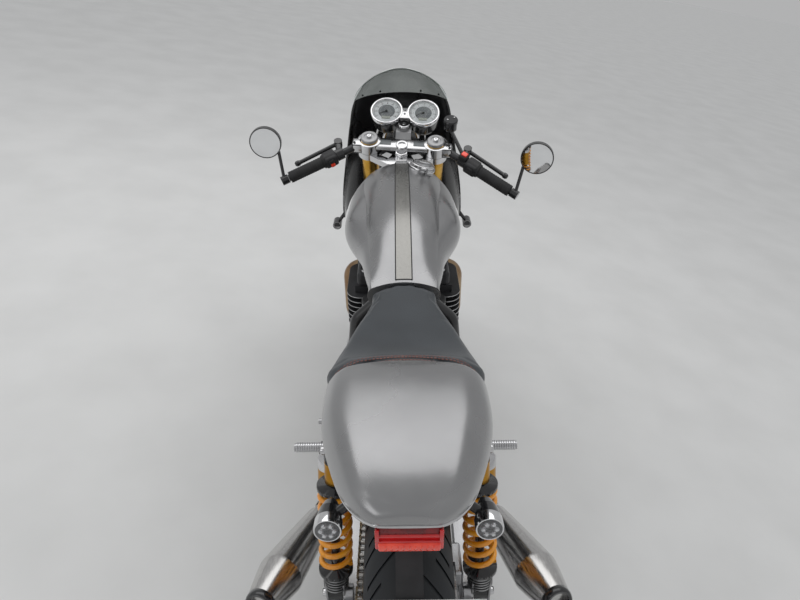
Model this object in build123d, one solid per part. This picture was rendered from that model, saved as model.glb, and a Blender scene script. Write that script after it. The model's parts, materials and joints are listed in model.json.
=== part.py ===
from build123d import *
import math
import os

# Cafe racer motorcycle, parked leaning to the left on its side stand.
# Everything is modelled upright in millimetres: +X right, +Y forward, +Z up,
# with the rear axle above y = 0 and the ground at z = 0. At the end it leans and turns as it parks.
# Steering pieces are modelled in the steering frame (x, forward offset, height on the axis).

# Chassis geometry
wheelbase = 1415
rake = 22.8
trail = 92
steering_turn = 6
lean = 10
steering_lock = 28
seat_clear = 0.3
clamp_clear = 0.2
bar_clear = 0.15

# Wheels and tyres
rim_bead_radius = 216
rear_tyre_height = 96
rear_tyre_width = 160
rear_crown_drop = 51
rear_rim_half = 64
front_tyre_height = 84
front_tyre_width = 120
front_crown_drop = 38.5
front_rim_half = 45
crown_facets = 4
rim_wall = 6
rim_well = 18
rim_flange = 12
spokes_per_wheel = 32
spoke_thickness = 4.4
spoke_sweep = 42
hub_flange_radius = 47
hub_barrel_radius = 30
axle_radius = 12.5
running_clearance = 0.05

# Brakes and drive
front_disc_radius = 155
front_disc_x = 66
rear_disc_radius = 110
rear_disc_x = 92
disc_thickness = 5
sprocket_teeth = 42
front_sprocket_teeth = 17
chain_pitch = 15.875
chain_x = -95
chain_width = 18
gearbox_y = 610
gearbox_z = 345

# Fork and head
fork_half_spacing = 104
fork_tube_radius = 27
fork_slider_radius = 21.5
fork_seal_radius = 28
yoke_boss_radius = 37
fork_top = 1032
fork_tube_bottom = 700
upper_yoke_top = 997
yoke_thickness = 22
lower_yoke_top = 832
stem_radius = 15
head_tube_radius = 31

# Frame, swingarm and shocks
frame_tube_radius = 16
spine_radius = 26
seat_rail_radius = 12.5
seat_rail_x = 88
pivot_y = 545
pivot_z = 335
upright_x = 148
spindle_radius = 10
arm_x = 119
arm_width = 24
shock_x = 150
shock_lower_y = 31
shock_lower_z = 347
shock_upper_x = 137
shock_upper_y = 98
shock_upper_z = 690
spring_radius = 29
spring_wire_radius = 5.5
spring_turns = 7
reservoir_radius = 26
shock_stud_radius = 7
shock_eye_radius = 17
shock_eye_half = 14

# Engine
case_half = 132
case_back = 576
cylinder_half = 152
fin_count = 11
fin_thickness = 3
head_top_z = 686
deck_z = 486
block_y = 792
block_depth = 150
port_radius = 26
fin_corner = 40

# Side stand
stand_pivot = Vector(-137, 700, 200)
stand_cant = 20
stand_swing = 98
stand_foot_x = -262
stand_foot_y = 730
stand_leg_radius = 12
stand_hub_half = 9
stand_pin_radius = 6

# Threaded holes for a paddock stand's spools, one each side of the swingarm
spool_y = 92
spool_hole_radius = 4
spool_hole_depth = 16

# Rear mudguard, tail and number plate
guard_top = 690
guard_wall = 4
guard_half = 62
plate_clear = 64
plate_angle = 35.8
plate_tilt = 25
tail_light_half = 49

# Worked out from the sizes above
rear_tyre_radius = rim_bead_radius + rear_tyre_height
front_tyre_radius = rim_bead_radius + front_tyre_height

X_AXIS = (1, 0, 0)


def sind(degrees):
    return math.sin(math.radians(degrees))


def cosd(degrees):
    return math.cos(math.radians(degrees))


fork_offset = front_tyre_radius * sind(rake) - trail * cosd(rake)
steering_ground = Vector(0, wheelbase + trail, 0)
steering_up = Vector(0, -sind(rake), cosd(rake))
steering_plane = Plane(origin=steering_ground, x_dir=X_AXIS, z_dir=steering_up)
steering_place = steering_plane.location
steering_axis = Axis(steering_ground, steering_up)
front_axle_height = front_tyre_radius * cosd(rake) + trail * sind(rake)
stand_axis = Vector(-cosd(stand_cant), 0, sind(stand_cant))


# Small building helpers

def mirrored(shape):
    return mirror(shape, about=Plane.YZ)


def both(shape):
    """A piece of the right side and its mirror image on the left."""
    return [shape, mirrored(shape)]


def rod(start, end, radius):
    start = Vector(start)
    end = Vector(end)
    run = end - start
    base = Plane(origin=start, z_dir=run)
    return extrude(base * Circle(radius), run.length)


def pipe(points, radius, bend):
    wire = FilletPolyline(*points, radius=bend)
    start = Plane(origin=wire @ 0, z_dir=wire % 0)
    return sweep(start * Circle(radius), path=wire)


def box(center, size, rounding=0):
    solid = Pos(*center) * Box(*size)
    if rounding:
        solid = fillet(solid.edges(), rounding)
    return solid


def lathe(start, direction, rows):
    """A turned solid from rows of distance along its axis and radius there."""
    points = [(0, rows[0][0])] + [(radius, distance) for distance, radius in rows] + [(0, rows[-1][0])]
    face = Plane.XZ * make_face(Polyline(*points, close=True))
    return Plane(origin=start, z_dir=direction).location * revolve(face, Axis.Z)


def disc_x(x0, x1, radius, y=0, z=0):
    return rod((x0, y, z), (x1, y, z), radius)


def ring_x(x0, x1, outer, inner, y=0, z=0):
    return disc_x(x0, x1, outer, y, z) - disc_x(x0 - 1, x1 + 1, inner, y, z)


def side_plate(points, x0, x1):
    face = Plane.YZ.offset(x0) * make_face(Polyline(*points, close=True))
    return extrude(face, x1 - x0)


def joined(pieces):
    whole = pieces[0]
    for piece in pieces[1:]:
        whole += piece
    return whole


def turned(profile_points):
    face = Plane.XZ * make_face(Polyline(*profile_points, close=True))
    return revolve(face, Axis.X)


# Wheels, built about the origin with the axle along X

def crown_points(radius, width, drop):
    """Corners across the tread, each as x and distance from the axle, from right to left."""
    crown = ((width / 2) ** 2 + drop ** 2) / (2 * drop)
    shoulder = math.degrees(math.asin(width / 2 / crown))
    angles = [shoulder * (1 - 2 * index / crown_facets) for index in range(crown_facets + 1)]
    return [(crown * sind(angle), radius - crown + crown * cosd(angle)) for angle in angles]


def tyre(radius, width, drop, rim_half):
    bead_x = rim_half - rim_wall - seat_clear
    bead_z = rim_bead_radius + seat_clear
    flange_z = rim_bead_radius + rim_flange + seat_clear
    return turned([(-bead_x, flange_z), (-bead_x, bead_z), (bead_x, bead_z), (bead_x, flange_z)]
                  + crown_points(radius, width, drop))


def rim(half):
    flange = rim_bead_radius + rim_flange
    bead = rim_bead_radius
    well = rim_bead_radius - rim_well + rim_wall
    right = [(half, flange), (half, bead - rim_wall), (half - 16, bead - rim_wall - 2),
             (half * 0.45, well - rim_wall)]
    inside = [(half * 0.45, well), (half - 20, bead - 2), (half - rim_wall, bead),
              (half - rim_wall, flange)]
    left = [(-x, z) for x, z in reversed(right)]
    inside_left = [(-x, z) for x, z in reversed(inside)]
    return turned(right + left + inside_left + inside)


def spoked_hub(rim_half, flange_x, bore):
    well_z = rim_bead_radius - rim_well
    barrel = turned([(-flange_x - 8, bore), (flange_x + 8, bore), (flange_x + 8, hub_barrel_radius),
                     (flange_x, hub_flange_radius), (flange_x - 6, hub_flange_radius),
                     (flange_x - 14, hub_barrel_radius), (-flange_x + 14, hub_barrel_radius),
                     (-flange_x + 6, hub_flange_radius), (-flange_x, hub_flange_radius),
                     (-flange_x - 8, hub_barrel_radius)])
    spokes = []
    step = 360 / spokes_per_wheel
    for index in range(spokes_per_wheel):
        side = 1 if index % 2 else -1
        sweep_sign = 1 if index % 4 < 2 else -1
        root = index * step + sweep_sign * spoke_sweep
        tip = index * step
        root_r = hub_flange_radius - 4
        tip_r = well_z + 3
        start = Vector(side * (flange_x - 3), root_r * sind(root), root_r * cosd(root))
        end = Vector(side * 10, tip_r * sind(tip), tip_r * cosd(tip))
        run = end - start
        section = Plane(origin=start, z_dir=run) * RegularPolygon(spoke_thickness / 2, 6)
        spokes.append(extrude(section, run.length))
    reach = disc_x(-rim_half, rim_half, well_z - seat_clear)
    return (barrel + spokes) & reach


def brake_disc(radius, x, carrier_radius):
    inner = radius - 36
    band = ring_x(x - disc_thickness / 2, x + disc_thickness / 2, radius, inner)
    spider = ring_x(x - disc_thickness / 2, x + disc_thickness / 2, inner + 3, carrier_radius)
    window_r = (inner + carrier_radius) / 2 + 6
    for index in range(6):
        angle = index * 60 + 30
        y = window_r * cosd(angle)
        z = window_r * sind(angle)
        spider -= disc_x(x - 6, x + 6, (inner - carrier_radius) / 2 - 10, y, z)
    return band + spider


def sprocket(teeth, x, thickness, bore):
    pitch_radius = chain_pitch / (2 * sind(180 / teeth))
    root = pitch_radius - 5
    tip = pitch_radius + 4
    points = []
    for index in range(teeth):
        base = index * 360 / teeth
        step = 360 / teeth
        for share, radius in ((0.12, root), (0.38, root), (0.56, tip), (0.72, root + 4.5), (0.94, root)):
            angle = base + share * step
            points.append((radius * cosd(angle), radius * sind(angle)))
    face = Plane.YZ.offset(x - thickness / 2) * make_face(Polyline(*points, close=True))
    return extrude(face, thickness) - disc_x(x - thickness, x + thickness, bore)


def to_rear(shape):
    return Pos(0, 0, rear_tyre_radius) * shape


def to_front(shape):
    return Pos(0, fork_offset, front_axle_height) * shape


rear_tyre = to_rear(tyre(rear_tyre_radius, rear_tyre_width, rear_crown_drop, rear_rim_half))
rear_rim = to_rear(rim(rear_rim_half))
rear_hub = to_rear(spoked_hub(rear_rim_half, 48, axle_radius + running_clearance))
sprocket_pitch_radius = chain_pitch / (2 * sind(180 / sprocket_teeth))
rear_sprocket = to_rear(sprocket(sprocket_teeth, chain_x, 6, hub_barrel_radius)
                        + ring_x(chain_x, -57, hub_barrel_radius + 22, axle_radius + running_clearance))
rear_disc = to_rear(brake_disc(rear_disc_radius, rear_disc_x, 34)
                    + ring_x(57, rear_disc_x, 36, axle_radius + running_clearance))

front_tyre = to_front(tyre(front_tyre_radius, front_tyre_width, front_crown_drop, front_rim_half))
front_rim = to_front(rim(front_rim_half))
front_hub = to_front(spoked_hub(front_rim_half, 40, axle_radius + running_clearance))
front_disc = (brake_disc(front_disc_radius, front_disc_x, 34)
              + ring_x(49, front_disc_x, 36, axle_radius + running_clearance))
front_discs = [to_front(disc) for disc in both(front_disc)]


# Steering, in the steering frame

fork_x = fork_half_spacing
fork_u = fork_offset
axle_w = front_axle_height


def along_fork(low, high, radius, side=1):
    """A rod on the axis of one fork leg, between two heights."""
    return rod((side * fork_x, fork_u, low), (side * fork_x, fork_u, high), radius)


def fork_tube():
    tube = along_fork(fork_tube_bottom, fork_top, fork_tube_radius)
    cap = along_fork(fork_top, fork_top + 6, fork_tube_radius - 5)
    bore = along_fork(fork_tube_bottom - 1, fork_tube_bottom + 120, fork_slider_radius + seat_clear)
    return tube + cap - bore


def fork_leg():
    slider = along_fork(axle_w + 70, fork_tube_bottom + 100, fork_slider_radius)
    lug = along_fork(axle_w - 32, axle_w + 90, fork_seal_radius)
    seal = along_fork(fork_tube_bottom - 16, fork_tube_bottom - seat_clear, fork_seal_radius)
    return slider + lug + seal


yoke_windows = [(30, 6), (68, 24), (70, 2), (44, -20)]


def yoke(top, reach_back):
    """One clamp plate, with a window between the stem and each fork tube."""
    plane = Plane.XY.offset(top - yoke_thickness)
    outline = Polyline((-fork_x, fork_u + 34), (fork_x, fork_u + 34), (fork_x + 20, fork_u),
                       (fork_x, fork_u - 34), (40, -reach_back), (-40, -reach_back),
                       (-fork_x, fork_u - 34), (-fork_x - 20, fork_u), close=True)
    plate = extrude(plane * make_face(outline), yoke_thickness)
    for side in (-1, 1):
        plate += along_fork(top - yoke_thickness, top, yoke_boss_radius, side)
    for side in (-1, 1):
        plate -= along_fork(top - 60, top + 60, fork_tube_radius + clamp_clear, side)
        window = make_face(Polyline(*[(side * x, u) for x, u in yoke_windows], close=True))
        plate -= extrude(plane * window, yoke_thickness)
    return plate


upper_yoke_bottom = upper_yoke_top - yoke_thickness
stem = rod((0, 0, lower_yoke_top - yoke_thickness), (0, 0, upper_yoke_top + 8), stem_radius)
triple_clamps = (yoke(upper_yoke_top, 40) + yoke(lower_yoke_top, 34) + stem
                 + rod((0, 0, upper_yoke_top), (0, 0, upper_yoke_top + 10), 20))
fork_tubes = both(fork_tube())
axle = disc_x(-fork_x - 30, fork_x + 30, axle_radius, fork_u, axle_w)
fork_legs = fork_leg() + mirrored(fork_leg()) + axle

clamp_w0 = upper_yoke_top + 1
clamp_w1 = fork_top - 3
bar_root = Vector(fork_x + 36, 18, 1013)
bar_tip = Vector(343, -99, 969)
bar_dir = (bar_tip - bar_root).normalized()
bar_radius = 11
grip_radius = 17.5


def along_bar(distance):
    return bar_root + bar_dir * distance


bar_length = (bar_tip - bar_root).length
grip_start = bar_length - 122
grip_end = bar_length - 4
switch_start = grip_start - 40


def bar_piece(start, end, radius):
    """A rod on the axis of one handlebar, between two distances from its root."""
    return rod(along_bar(start), along_bar(end), radius)


def clip_on():
    ring = along_fork(clamp_w0, clamp_w1, yoke_boss_radius - 1)
    boss = box((fork_x + 34, bar_root.Y, (clamp_w0 + clamp_w1) / 2), (34, 32, clamp_w1 - clamp_w0))
    bore = along_fork(clamp_w0 - 5, clamp_w1 + 5, fork_tube_radius + clamp_clear)
    return ring + boss - bore + bar_piece(-4, bar_length, bar_radius)


def grip():
    sleeve = bar_piece(grip_start, grip_end, grip_radius)
    flange = bar_piece(grip_start, grip_start + 5, grip_radius + 4)
    return sleeve + flange - bar_piece(grip_start - 2, grip_end + 2, bar_radius + bar_clear)


def switch_unit():
    body = bar_piece(switch_start, grip_start - 1, 22)
    return body - bar_piece(switch_start - 2, grip_start, bar_radius + bar_clear)


lever_radius = 6.5
lever_perch = along_bar(switch_start - 14)
fluid_cup_radius = 20
fluid_cup_foot = Vector(146, 88, 1040)
fluid_cup_rows = [
    # height, radius
    (0, fluid_cup_radius - 6), (4, fluid_cup_radius), (28, fluid_cup_radius), (28, fluid_cup_radius + 2),
    (36, fluid_cup_radius + 2), (38, fluid_cup_radius),
]


def lever():
    clamp = bar_piece(switch_start - 26, switch_start - 2, 18)
    arm_end = lever_perch + Vector(12, 46, 4)
    blade_end = along_bar(bar_length - 14) + Vector(-6, 52, 6)
    perch = rod(lever_perch, arm_end, 11)
    knuckle = rod(arm_end - Vector(0, 0, 11), arm_end + Vector(0, 0, 11), 13)
    blade = rod(arm_end, blade_end, lever_radius)
    knob = lathe(blade_end, blade_end - arm_end, [(-9, lever_radius), (-4, 9), (4, 9), (9, 5)])
    return clamp + perch + knuckle + blade + knob - bar_piece(-12, grip_start, bar_radius + bar_clear)


def fluid_cup():
    """The front brake's fluid reservoir and the arm that holds it on the lever's clamp."""
    cup = lathe(fluid_cup_foot, Vector(0, 0, 1), fluid_cup_rows)
    bracket = rod(lever_perch + Vector(0, 16, 6), fluid_cup_foot + Vector(0, -6, 6), 6)
    return cup + bracket - bar_piece(-12, grip_start, bar_radius + bar_clear)


mirror_center = Vector(405, -66, 1075)
mirror_radius = 48
mirror_normal = Vector(-0.10, -0.86, 0.30).normalized()


def bar_mirror():
    weight = bar_piece(bar_length + 0.5, bar_length + 24, 14)
    knuckle = along_bar(bar_length + 15)
    arm_foot = mirror_center + Vector(-mirror_radius * 0.7, 6, -mirror_radius * 0.72)
    arm = rod(knuckle, arm_foot, 5)
    back = mirror_center - mirror_normal * 12
    shell = rod(back, mirror_center, mirror_radius)
    stalk = rod(arm_foot, mirror_center - mirror_normal * 6, 6)
    return weight + arm + stalk + shell


gauge_x = 58
gauge_u = 121
gauge_w = 1070
gauge_radius = 50
gauge_depth = 42
gauge_back_depth = 20
gauge_tilt = 12
lock_u = 86
lock_radius = 17
lock_top = 1050
gauge_bracket_half = 24
gauge_bracket = [(28, upper_yoke_top), (54, upper_yoke_top), (70, 1026), (gauge_u + 18, 1046),
                 (gauge_u + 16, 1054), (66, 1036), (40, 1012), (28, 1004)]


def gauges_solid():
    normal = Vector(0, -sind(gauge_tilt), cosd(gauge_tilt))
    rows = [(-gauge_depth - gauge_back_depth, gauge_radius - 14), (-gauge_depth, gauge_radius - 14),
            (-gauge_depth, gauge_radius - 4), (-8, gauge_radius), (0, gauge_radius)]
    cans = [lathe(Vector(side * gauge_x, gauge_u, gauge_w), normal, rows) for side in (-1, 1)]
    bridge = box((0, gauge_u, gauge_w - 10), (2 * (gauge_x - 20), 40, 12))
    seated = [(u, w + seat_clear) for u, w in gauge_bracket]
    plate = side_plate(seated, -gauge_bracket_half, gauge_bracket_half)
    lock = rod((0, lock_u, lock_top - 30), (0, lock_u, lock_top), lock_radius)
    return joined(cans) + bridge + plate + lock


def front_mudguard_solid():
    inner = front_tyre_radius + 12
    outer = inner + 3
    half = front_tyre_width / 2 + 9
    drop = 42
    with BuildSketch(Plane.XZ) as section:
        with BuildLine():
            ThreePointArc((-half, outer - drop), (0, outer), (half, outer - drop))
            Line((half, outer - drop), (half - 3, outer - drop))
            ThreePointArc((half - 3, outer - drop), (0, inner), (-half + 3, outer - drop))
            Line((-half + 3, outer - drop), (-half, outer - drop))
        make_face()
    shell = revolve(section.sketch, Axis.X, revolution_arc=118)
    shell = to_front(Rot(-33, 0, 0) * shell)
    for side in (-1, 1):
        tab = box((side * (half + 10), fork_u, axle_w + outer - drop - 6), (26, 34, 30))
        shell += tab - along_fork(axle_w, fork_tube_bottom - 20, fork_slider_radius + seat_clear, side)
    return shell


def front_caliper():
    x = front_disc_x
    y = -92
    z = 62
    body = box((x + 3, y, z), (50, 62, 112), 8)
    slot = box((x, y + 20, z), (disc_thickness + 4, 200, 220)) & disc_x(x - 5, x + 5, front_disc_radius + 6)
    bracket = box((fork_x - 6, y / 2 - 6, z + 6), (16, 60, 90))
    return to_front(body + bracket - slot) - fork_leg()


hose_radius = 4
hose_bend = 60
junction_size = (60, 20, 20)
junction_u = fork_u - 34
lower_yoke_bottom = lower_yoke_top - yoke_thickness
hose_points = [(fork_x + 4, fork_u - 70, axle_w + 118), (fork_x + 4, fork_u - 46, axle_w + 200),
               (fork_x - 14, fork_u - 46, fork_tube_bottom - 60),
               (fork_x - 50, fork_u - 40, lower_yoke_bottom - 40), (26, junction_u, lower_yoke_bottom - 16)]


def brake_hoses_solid():
    """Both hoses and the junction under the lower yoke that they run to."""
    hose = pipe(hose_points, hose_radius, hose_bend)
    junction_w = lower_yoke_bottom - junction_size[2] / 2 - seat_clear
    junction = box((0, junction_u, junction_w), junction_size, 3)
    return hose + mirrored(hose) + junction


steering_nodes = {
    "triple_clamps": triple_clamps,
    "fork_tubes": fork_tubes,
    "fork_legs": fork_legs,
    "clip_ons": both(clip_on()),
    "grips": both(grip()),
    "switch_units": both(switch_unit()),
    "levers": [lever() + fluid_cup(), mirrored(lever())],
    "mirrors": both(bar_mirror()),
    "gauges": gauges_solid(),
    "front_mudguard": front_mudguard_solid(),
    "front_calipers": both(front_caliper()),
    "brake_hoses": brake_hoses_solid(),
}


# Frame

head_low = steering_plane.from_local_coords(Vector(0, 0, lower_yoke_top + 1))
head_high = steering_plane.from_local_coords(Vector(0, 0, upper_yoke_bottom - 1))
tunnel_gap = 12
tunnel_route = [(0, 1180, 862), (0, 960, 812), (0, 440, 721)]
tunnel_bend = 120
cushion_places = [1052, 640]
cushion_length = 28
engine_lug_radius = 10
cradle_bends = [60, 60, 60, 50, 60, 60, 30]


def cradle_tube(side, radius):
    return pipe([(side * 20, 1158, 800), (side * 52, 962, 570), (side * 62, 952, 330),
                 (side * 118, 915, 148), (side * 118, 650, 138), (side * upright_x, pivot_y, 235),
                 (side * upright_x, pivot_y - 5, 430), (side * 120, pivot_y - 2, 690),
                 (side * 62, 560, 738)], radius, cradle_bends)


def spine_tube(radius):
    return pipe([(0, 1135, 850), (0, 960, 812), (0, 560, 742)], radius, 120)


def tank_cushion(y):
    around = pipe(tunnel_route, spine_radius + tunnel_gap - seat_clear, tunnel_bend)
    return around & box((0, y, 800), (200, cushion_length, 300))


def engine_lugs(side):
    front = rod((side * 62, 952, 360), (side * 62, 900.8, 360), engine_lug_radius)
    back = rod((side * 146, pivot_y - 4, 452), (side * 104, 600, 456), engine_lug_radius) - crankcase
    return front + back


def main_frame_solid():
    head = rod(head_low, head_high, head_tube_radius)
    frame = head + spine_tube(spine_radius)
    for y in cushion_places:
        frame += tank_cushion(y)
    for side in (-1, 1):
        frame += cradle_tube(side, frame_tube_radius) + engine_lugs(side)
        frame += disc_x(side * upright_x - 10, side * upright_x + 10, 24, pivot_y, pivot_z)
    frame += rod((-62, 560, 738), (62, 560, 738), frame_tube_radius)
    frame += rod((-118, 770, 160), (118, 770, 160), 10)
    bore = rod(steering_plane.from_local_coords(Vector(0, 0, 700)),
               steering_plane.from_local_coords(Vector(0, 0, 1100)), stem_radius + running_clearance)
    frame -= bore
    frame -= disc_x(-200, 200, spindle_radius + clamp_clear, pivot_y, pivot_z)
    return frame


seat_post_y = 300
cowl_post_y = -20
front_cross_y = 130
front_cross_z = 738
rear_cross_y = -60
rear_cross_z = 751
cross_radius = 10
post_radius = 9


def seat_rail(side, radius):
    return pipe([(side * 44, 554, 739), (side * seat_rail_x, 440, 735), (side * seat_rail_x, 120, 738),
                 (side * (seat_rail_x - 6), -70, 752)], radius, 120)


def rear_frame_side(side):
    """One seat rail with its posts, its stay and the upper mounting of the shock."""
    cowl_post_x = side * (seat_rail_x - 4)
    rail = seat_rail(side, seat_rail_radius)
    rail += rod((side * seat_rail_x, seat_post_y, 738), (side * seat_rail_x, seat_post_y, 790), post_radius)
    rail += rod((cowl_post_x, cowl_post_y, 745), (cowl_post_x, cowl_post_y, 800), post_radius)
    stay = pipe([(side * 112, 500, 430), (side * seat_rail_x, 300, 600),
                 (side * seat_rail_x, 130, 730)], seat_rail_radius, 90)
    lug = rod((side * seat_rail_x, shock_upper_y, shock_upper_z + 46),
              (side * (shock_upper_x - 34), shock_upper_y, shock_upper_z), 12)
    stud = disc_x(side * (shock_upper_x - 40), side * (shock_upper_x + 18), shock_stud_radius,
                  shock_upper_y, shock_upper_z)
    return rail + stay + lug + stud


def rear_frame_solid():
    frame = rear_frame_side(-1) + rear_frame_side(1)
    frame += disc_x(-seat_rail_x, seat_rail_x, cross_radius, front_cross_y, front_cross_z)
    frame += disc_x(-seat_rail_x + 5, seat_rail_x - 5, cross_radius, rear_cross_y, rear_cross_z)
    return frame


# Engine

intake_x = 80
intake_y = 684
intake_z = 640
exhaust_x = 76
exhaust_y = 898
exhaust_z = 642


def crankcase_solid():
    case = side_plate([(596, 470), (case_back, 380), (case_back, 290), (605, 205), (700, 178),
                       (860, 185), (902, 290), (898, 440), (880, deck_z), (610, deck_z)],
                      -case_half + 20, case_half - 20)
    main = side_plate([(600, 460), (590, 380), (590, 290), (650, 235), (860, 240), (890, 300), (885, 450),
                       (860, 470)], -case_half, case_half)
    sprocket_room = box((chain_x - 40, gearbox_y + 5, gearbox_z), (106, 150, 160))
    return case + main - sprocket_room


crankcase = crankcase_solid()


def cylinders_solid():
    """The block and head as one, with ports and a stack of fins; the head's fins reach further out."""
    height = head_top_z - deck_z - 2 * seat_clear
    core = box((0, block_y, (deck_z + head_top_z) / 2), (2 * cylinder_half - 36, block_depth, height))
    port_start = block_depth / 2 - 2
    for side in (-1, 1):
        intake_mouth = (side * intake_x, intake_y, intake_z)
        exhaust_mouth = (side * exhaust_x, exhaust_y, exhaust_z)
        core += rod((side * intake_x, block_y - port_start, intake_z), intake_mouth, port_radius)
        core += rod((side * exhaust_x, block_y + port_start, exhaust_z), exhaust_mouth, port_radius)
    pitch = (head_top_z - deck_z - 24) / fin_count
    for index in range(fin_count):
        z = deck_z + 16 + index * pitch
        grow = 1 if index > 3 else 0
        outline = RectangleRounded(2 * (cylinder_half + 6 * grow), block_depth + 44 + 8 * grow, fin_corner)
        core += Pos(0, block_y, z) * extrude(outline, fin_thickness)
    return core


def cam_cover_solid():
    return box((0, block_y, head_top_z + 22), (2 * cylinder_half - 50, 168, 43), 12)


def left_cover():
    cover = disc_x(-case_half - 46, -case_half - seat_clear, 92, 800, 350)
    return fillet(cover.edges().group_by(Axis.X)[0], 16)


def sprocket_cover():
    return side_plate([(592, 430), (588, 290), (620, 262), (700, 268), (716, 330), (712, 430), (660, 448)],
                      -case_half - 22, -case_half - seat_clear)


def right_covers():
    front = disc_x(case_half + seat_clear, case_half + 44, 88, 800, 348)
    clutch = disc_x(case_half + seat_clear, case_half + 52, 92, 670, 352)
    return fillet(front.edges().group_by(Axis.X)[-1], 14) + fillet(clutch.edges().group_by(Axis.X)[-1], 16)


airbox_half = 74
airbox_front = 515
airbox_back = 401


def throttle_body(side):
    barrel = rod((side * intake_x, intake_y - seat_clear, intake_z), (side * intake_x, 590, intake_z), 29)
    bowl = rod((side * intake_x, 640, 575), (side * intake_x, 640, 684), 31)
    boot = rod((side * intake_x, 592, intake_z), (side * 44, airbox_front - 20, intake_z), 27)
    front = box((0, airbox_front - 100 + seat_clear, intake_z), (400, 200, 300))
    return barrel + bowl + boot - front


def header(side):
    return pipe([(side * exhaust_x, exhaust_y + seat_clear, exhaust_z),
                 (side * exhaust_x, 962, exhaust_z), (side * 172, 1000, 585),
                 (side * 172, 1000, 430), (side * 84, 1010, 260), (side * 66, 950, 118),
                 (side * 60, 690, 122)], 21, [34, 52, 70, 90, 70])


rearset_x = 178
rearset_half = 5
bracket_thickness = 5
silencer_bore = 19
silencer_rows = [
    # share of the length, radius
    (0, 20), (0.05, 31), (0.70, 46.5), (0.71, 47.5), (0.74, 47.5), (0.75, 46.5), (0.90, 45), (0.91, 42),
    (1.0, 28.5),
]


def silencer_bracket(side):
    """A tab from the link pipe to the outer face of the foot rest's plate."""
    inner = rearset_x + rearset_half + seat_clear
    low = min(side * inner, side * (inner + bracket_thickness))
    return side_plate([(412, 350), (411, 366), (380, 364), (318, 312), (312, 290), (352, 296)], low,
                      low + bracket_thickness)


def silencer(side):
    link = pipe([(side * 92, 560, 130), (side * 118, 470, 140), (side * 190, 330, 292),
                 (side * 206, 225, 335)], 24, [40, 60])
    start = Vector(side * 204, 238, 330)
    end = Vector(side * 289, -45, 420)
    run = end - start
    body = lathe(start, run, [(share * run.length, radius) for share, radius in silencer_rows])
    outlet = rod(end - run.normalized() * 60, end + run.normalized() * 2, silencer_bore)
    return link + body + silencer_bracket(side) - outlet


collector_box = box((0, 610, 128), (196, 170, 66), 14)
header_pipes = [header(side) - collector_box for side in (-1, 1)]
silencers = [silencer(side) - collector_box for side in (-1, 1)]


radiator_y = 1070
radiator_z = 530


def radiator_solid():
    """The core, its two end tanks and the lugs that hold it on the frame's down tubes."""
    radiator = box((0, radiator_y, radiator_z), (236, 34, 214))
    for side in (-1, 1):
        lug = rod((side * 46, radiator_y - 8, 620), (side * 46, 1000, 614), 8)
        lug -= cradle_tube(side, frame_tube_radius + seat_clear)
        radiator += box((side * 124, radiator_y, radiator_z), (22, 40, 222), 5)
        radiator += lug & box((side * 46, radiator_y - 8, 620), (40, 76, 40))
    return radiator


# Bodywork

tank_sections = [
    # y, half width, bottom z, widest z, crease half, crease z, top z
    (1062, 74, 800, 850, 56, 896, 915),
    (1045, 118, 785, 845, 98, 888, 922),
    (1000, 150, 768, 825, 114, 873, 928),
    (900, 160, 752, 802, 106, 874, 930),
    (780, 155, 752, 794, 98, 866, 920),
    (700, 125, 754, 790, 93, 854, 906),
    (630, 104, 757, 789, 87, 838, 884),
    (565, 93, 760, 788, 82, 822, 855),
    (500, 87, 762, 788, 77, 806, 822),
]


def tank_section(row, inset):
    y, half, bottom, wide_z, crease, crease_z, top = row
    half -= inset
    crease -= inset * 0.7
    crease_z -= inset * 0.7
    top -= inset
    bottom += inset
    base = half * 0.82
    with BuildSketch(Plane.XZ.offset(-y)) as section:
        with BuildLine():
            Line((-base, bottom), (base, bottom))
            ThreePointArc((base, bottom), (half, wide_z), (crease, crease_z))
            ThreePointArc((crease, crease_z), (0, top), (-crease, crease_z))
            ThreePointArc((-crease, crease_z), (-half, wide_z), (-base, bottom))
        make_face()
    return section.sketch


filler_y = 1012
filler_x = 62
filler_radius = 36
filler_tilt = 14
lid_thickness = 8
lid_swing = 95
hinge_back = 43
hinge_up = 4
hinge_pin = 2


filler_plane_z = 925
filler_place = Pos(filler_x, filler_y, filler_plane_z) * Rot(0, filler_tilt, 0)


def fuel_tank_solid():
    shell = loft([tank_section(row, 0) for row in tank_sections])
    shell -= pipe(tunnel_route, spine_radius + tunnel_gap, tunnel_bend)
    shell -= box((0, 780, 745), (2 * (spine_radius + tunnel_gap), 700, 60))
    neck = rod((0, 0, -34), (0, 0, -seat_clear), filler_radius)
    for side in (-1, 1):
        neck += box((side * 10.5, -hinge_back, hinge_up - 6), (5, 12, 18))
    neck -= disc_x(-20, 20, hinge_pin, -hinge_back, hinge_up)
    neck += disc_x(-13, 13, hinge_pin, -hinge_back, hinge_up)
    return shell + filler_place * neck


strap_half = 20.5
strap_gap = 0.4
strap_thickness = 2.8
strap_length = 548


def tank_strap_solid():
    """A band over the top of the tank, cut from the tank's own form grown by two amounts."""
    band = loft([tank_section(row, -strap_gap - strap_thickness) for row in tank_sections])
    band -= loft([tank_section(row, -strap_gap) for row in tank_sections])
    return band & box((0, 780, 950), (2 * strap_half, strap_length, 300))


seat_sections = [
    # y, half width, bottom z, top z, edge
    (496, 70, 768, 811, 20),
    (400, 92, 766, 806, 22),
    (270, 126, 766, 812, 24),
    (190, 138, 770, 842, 26),
]


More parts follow.
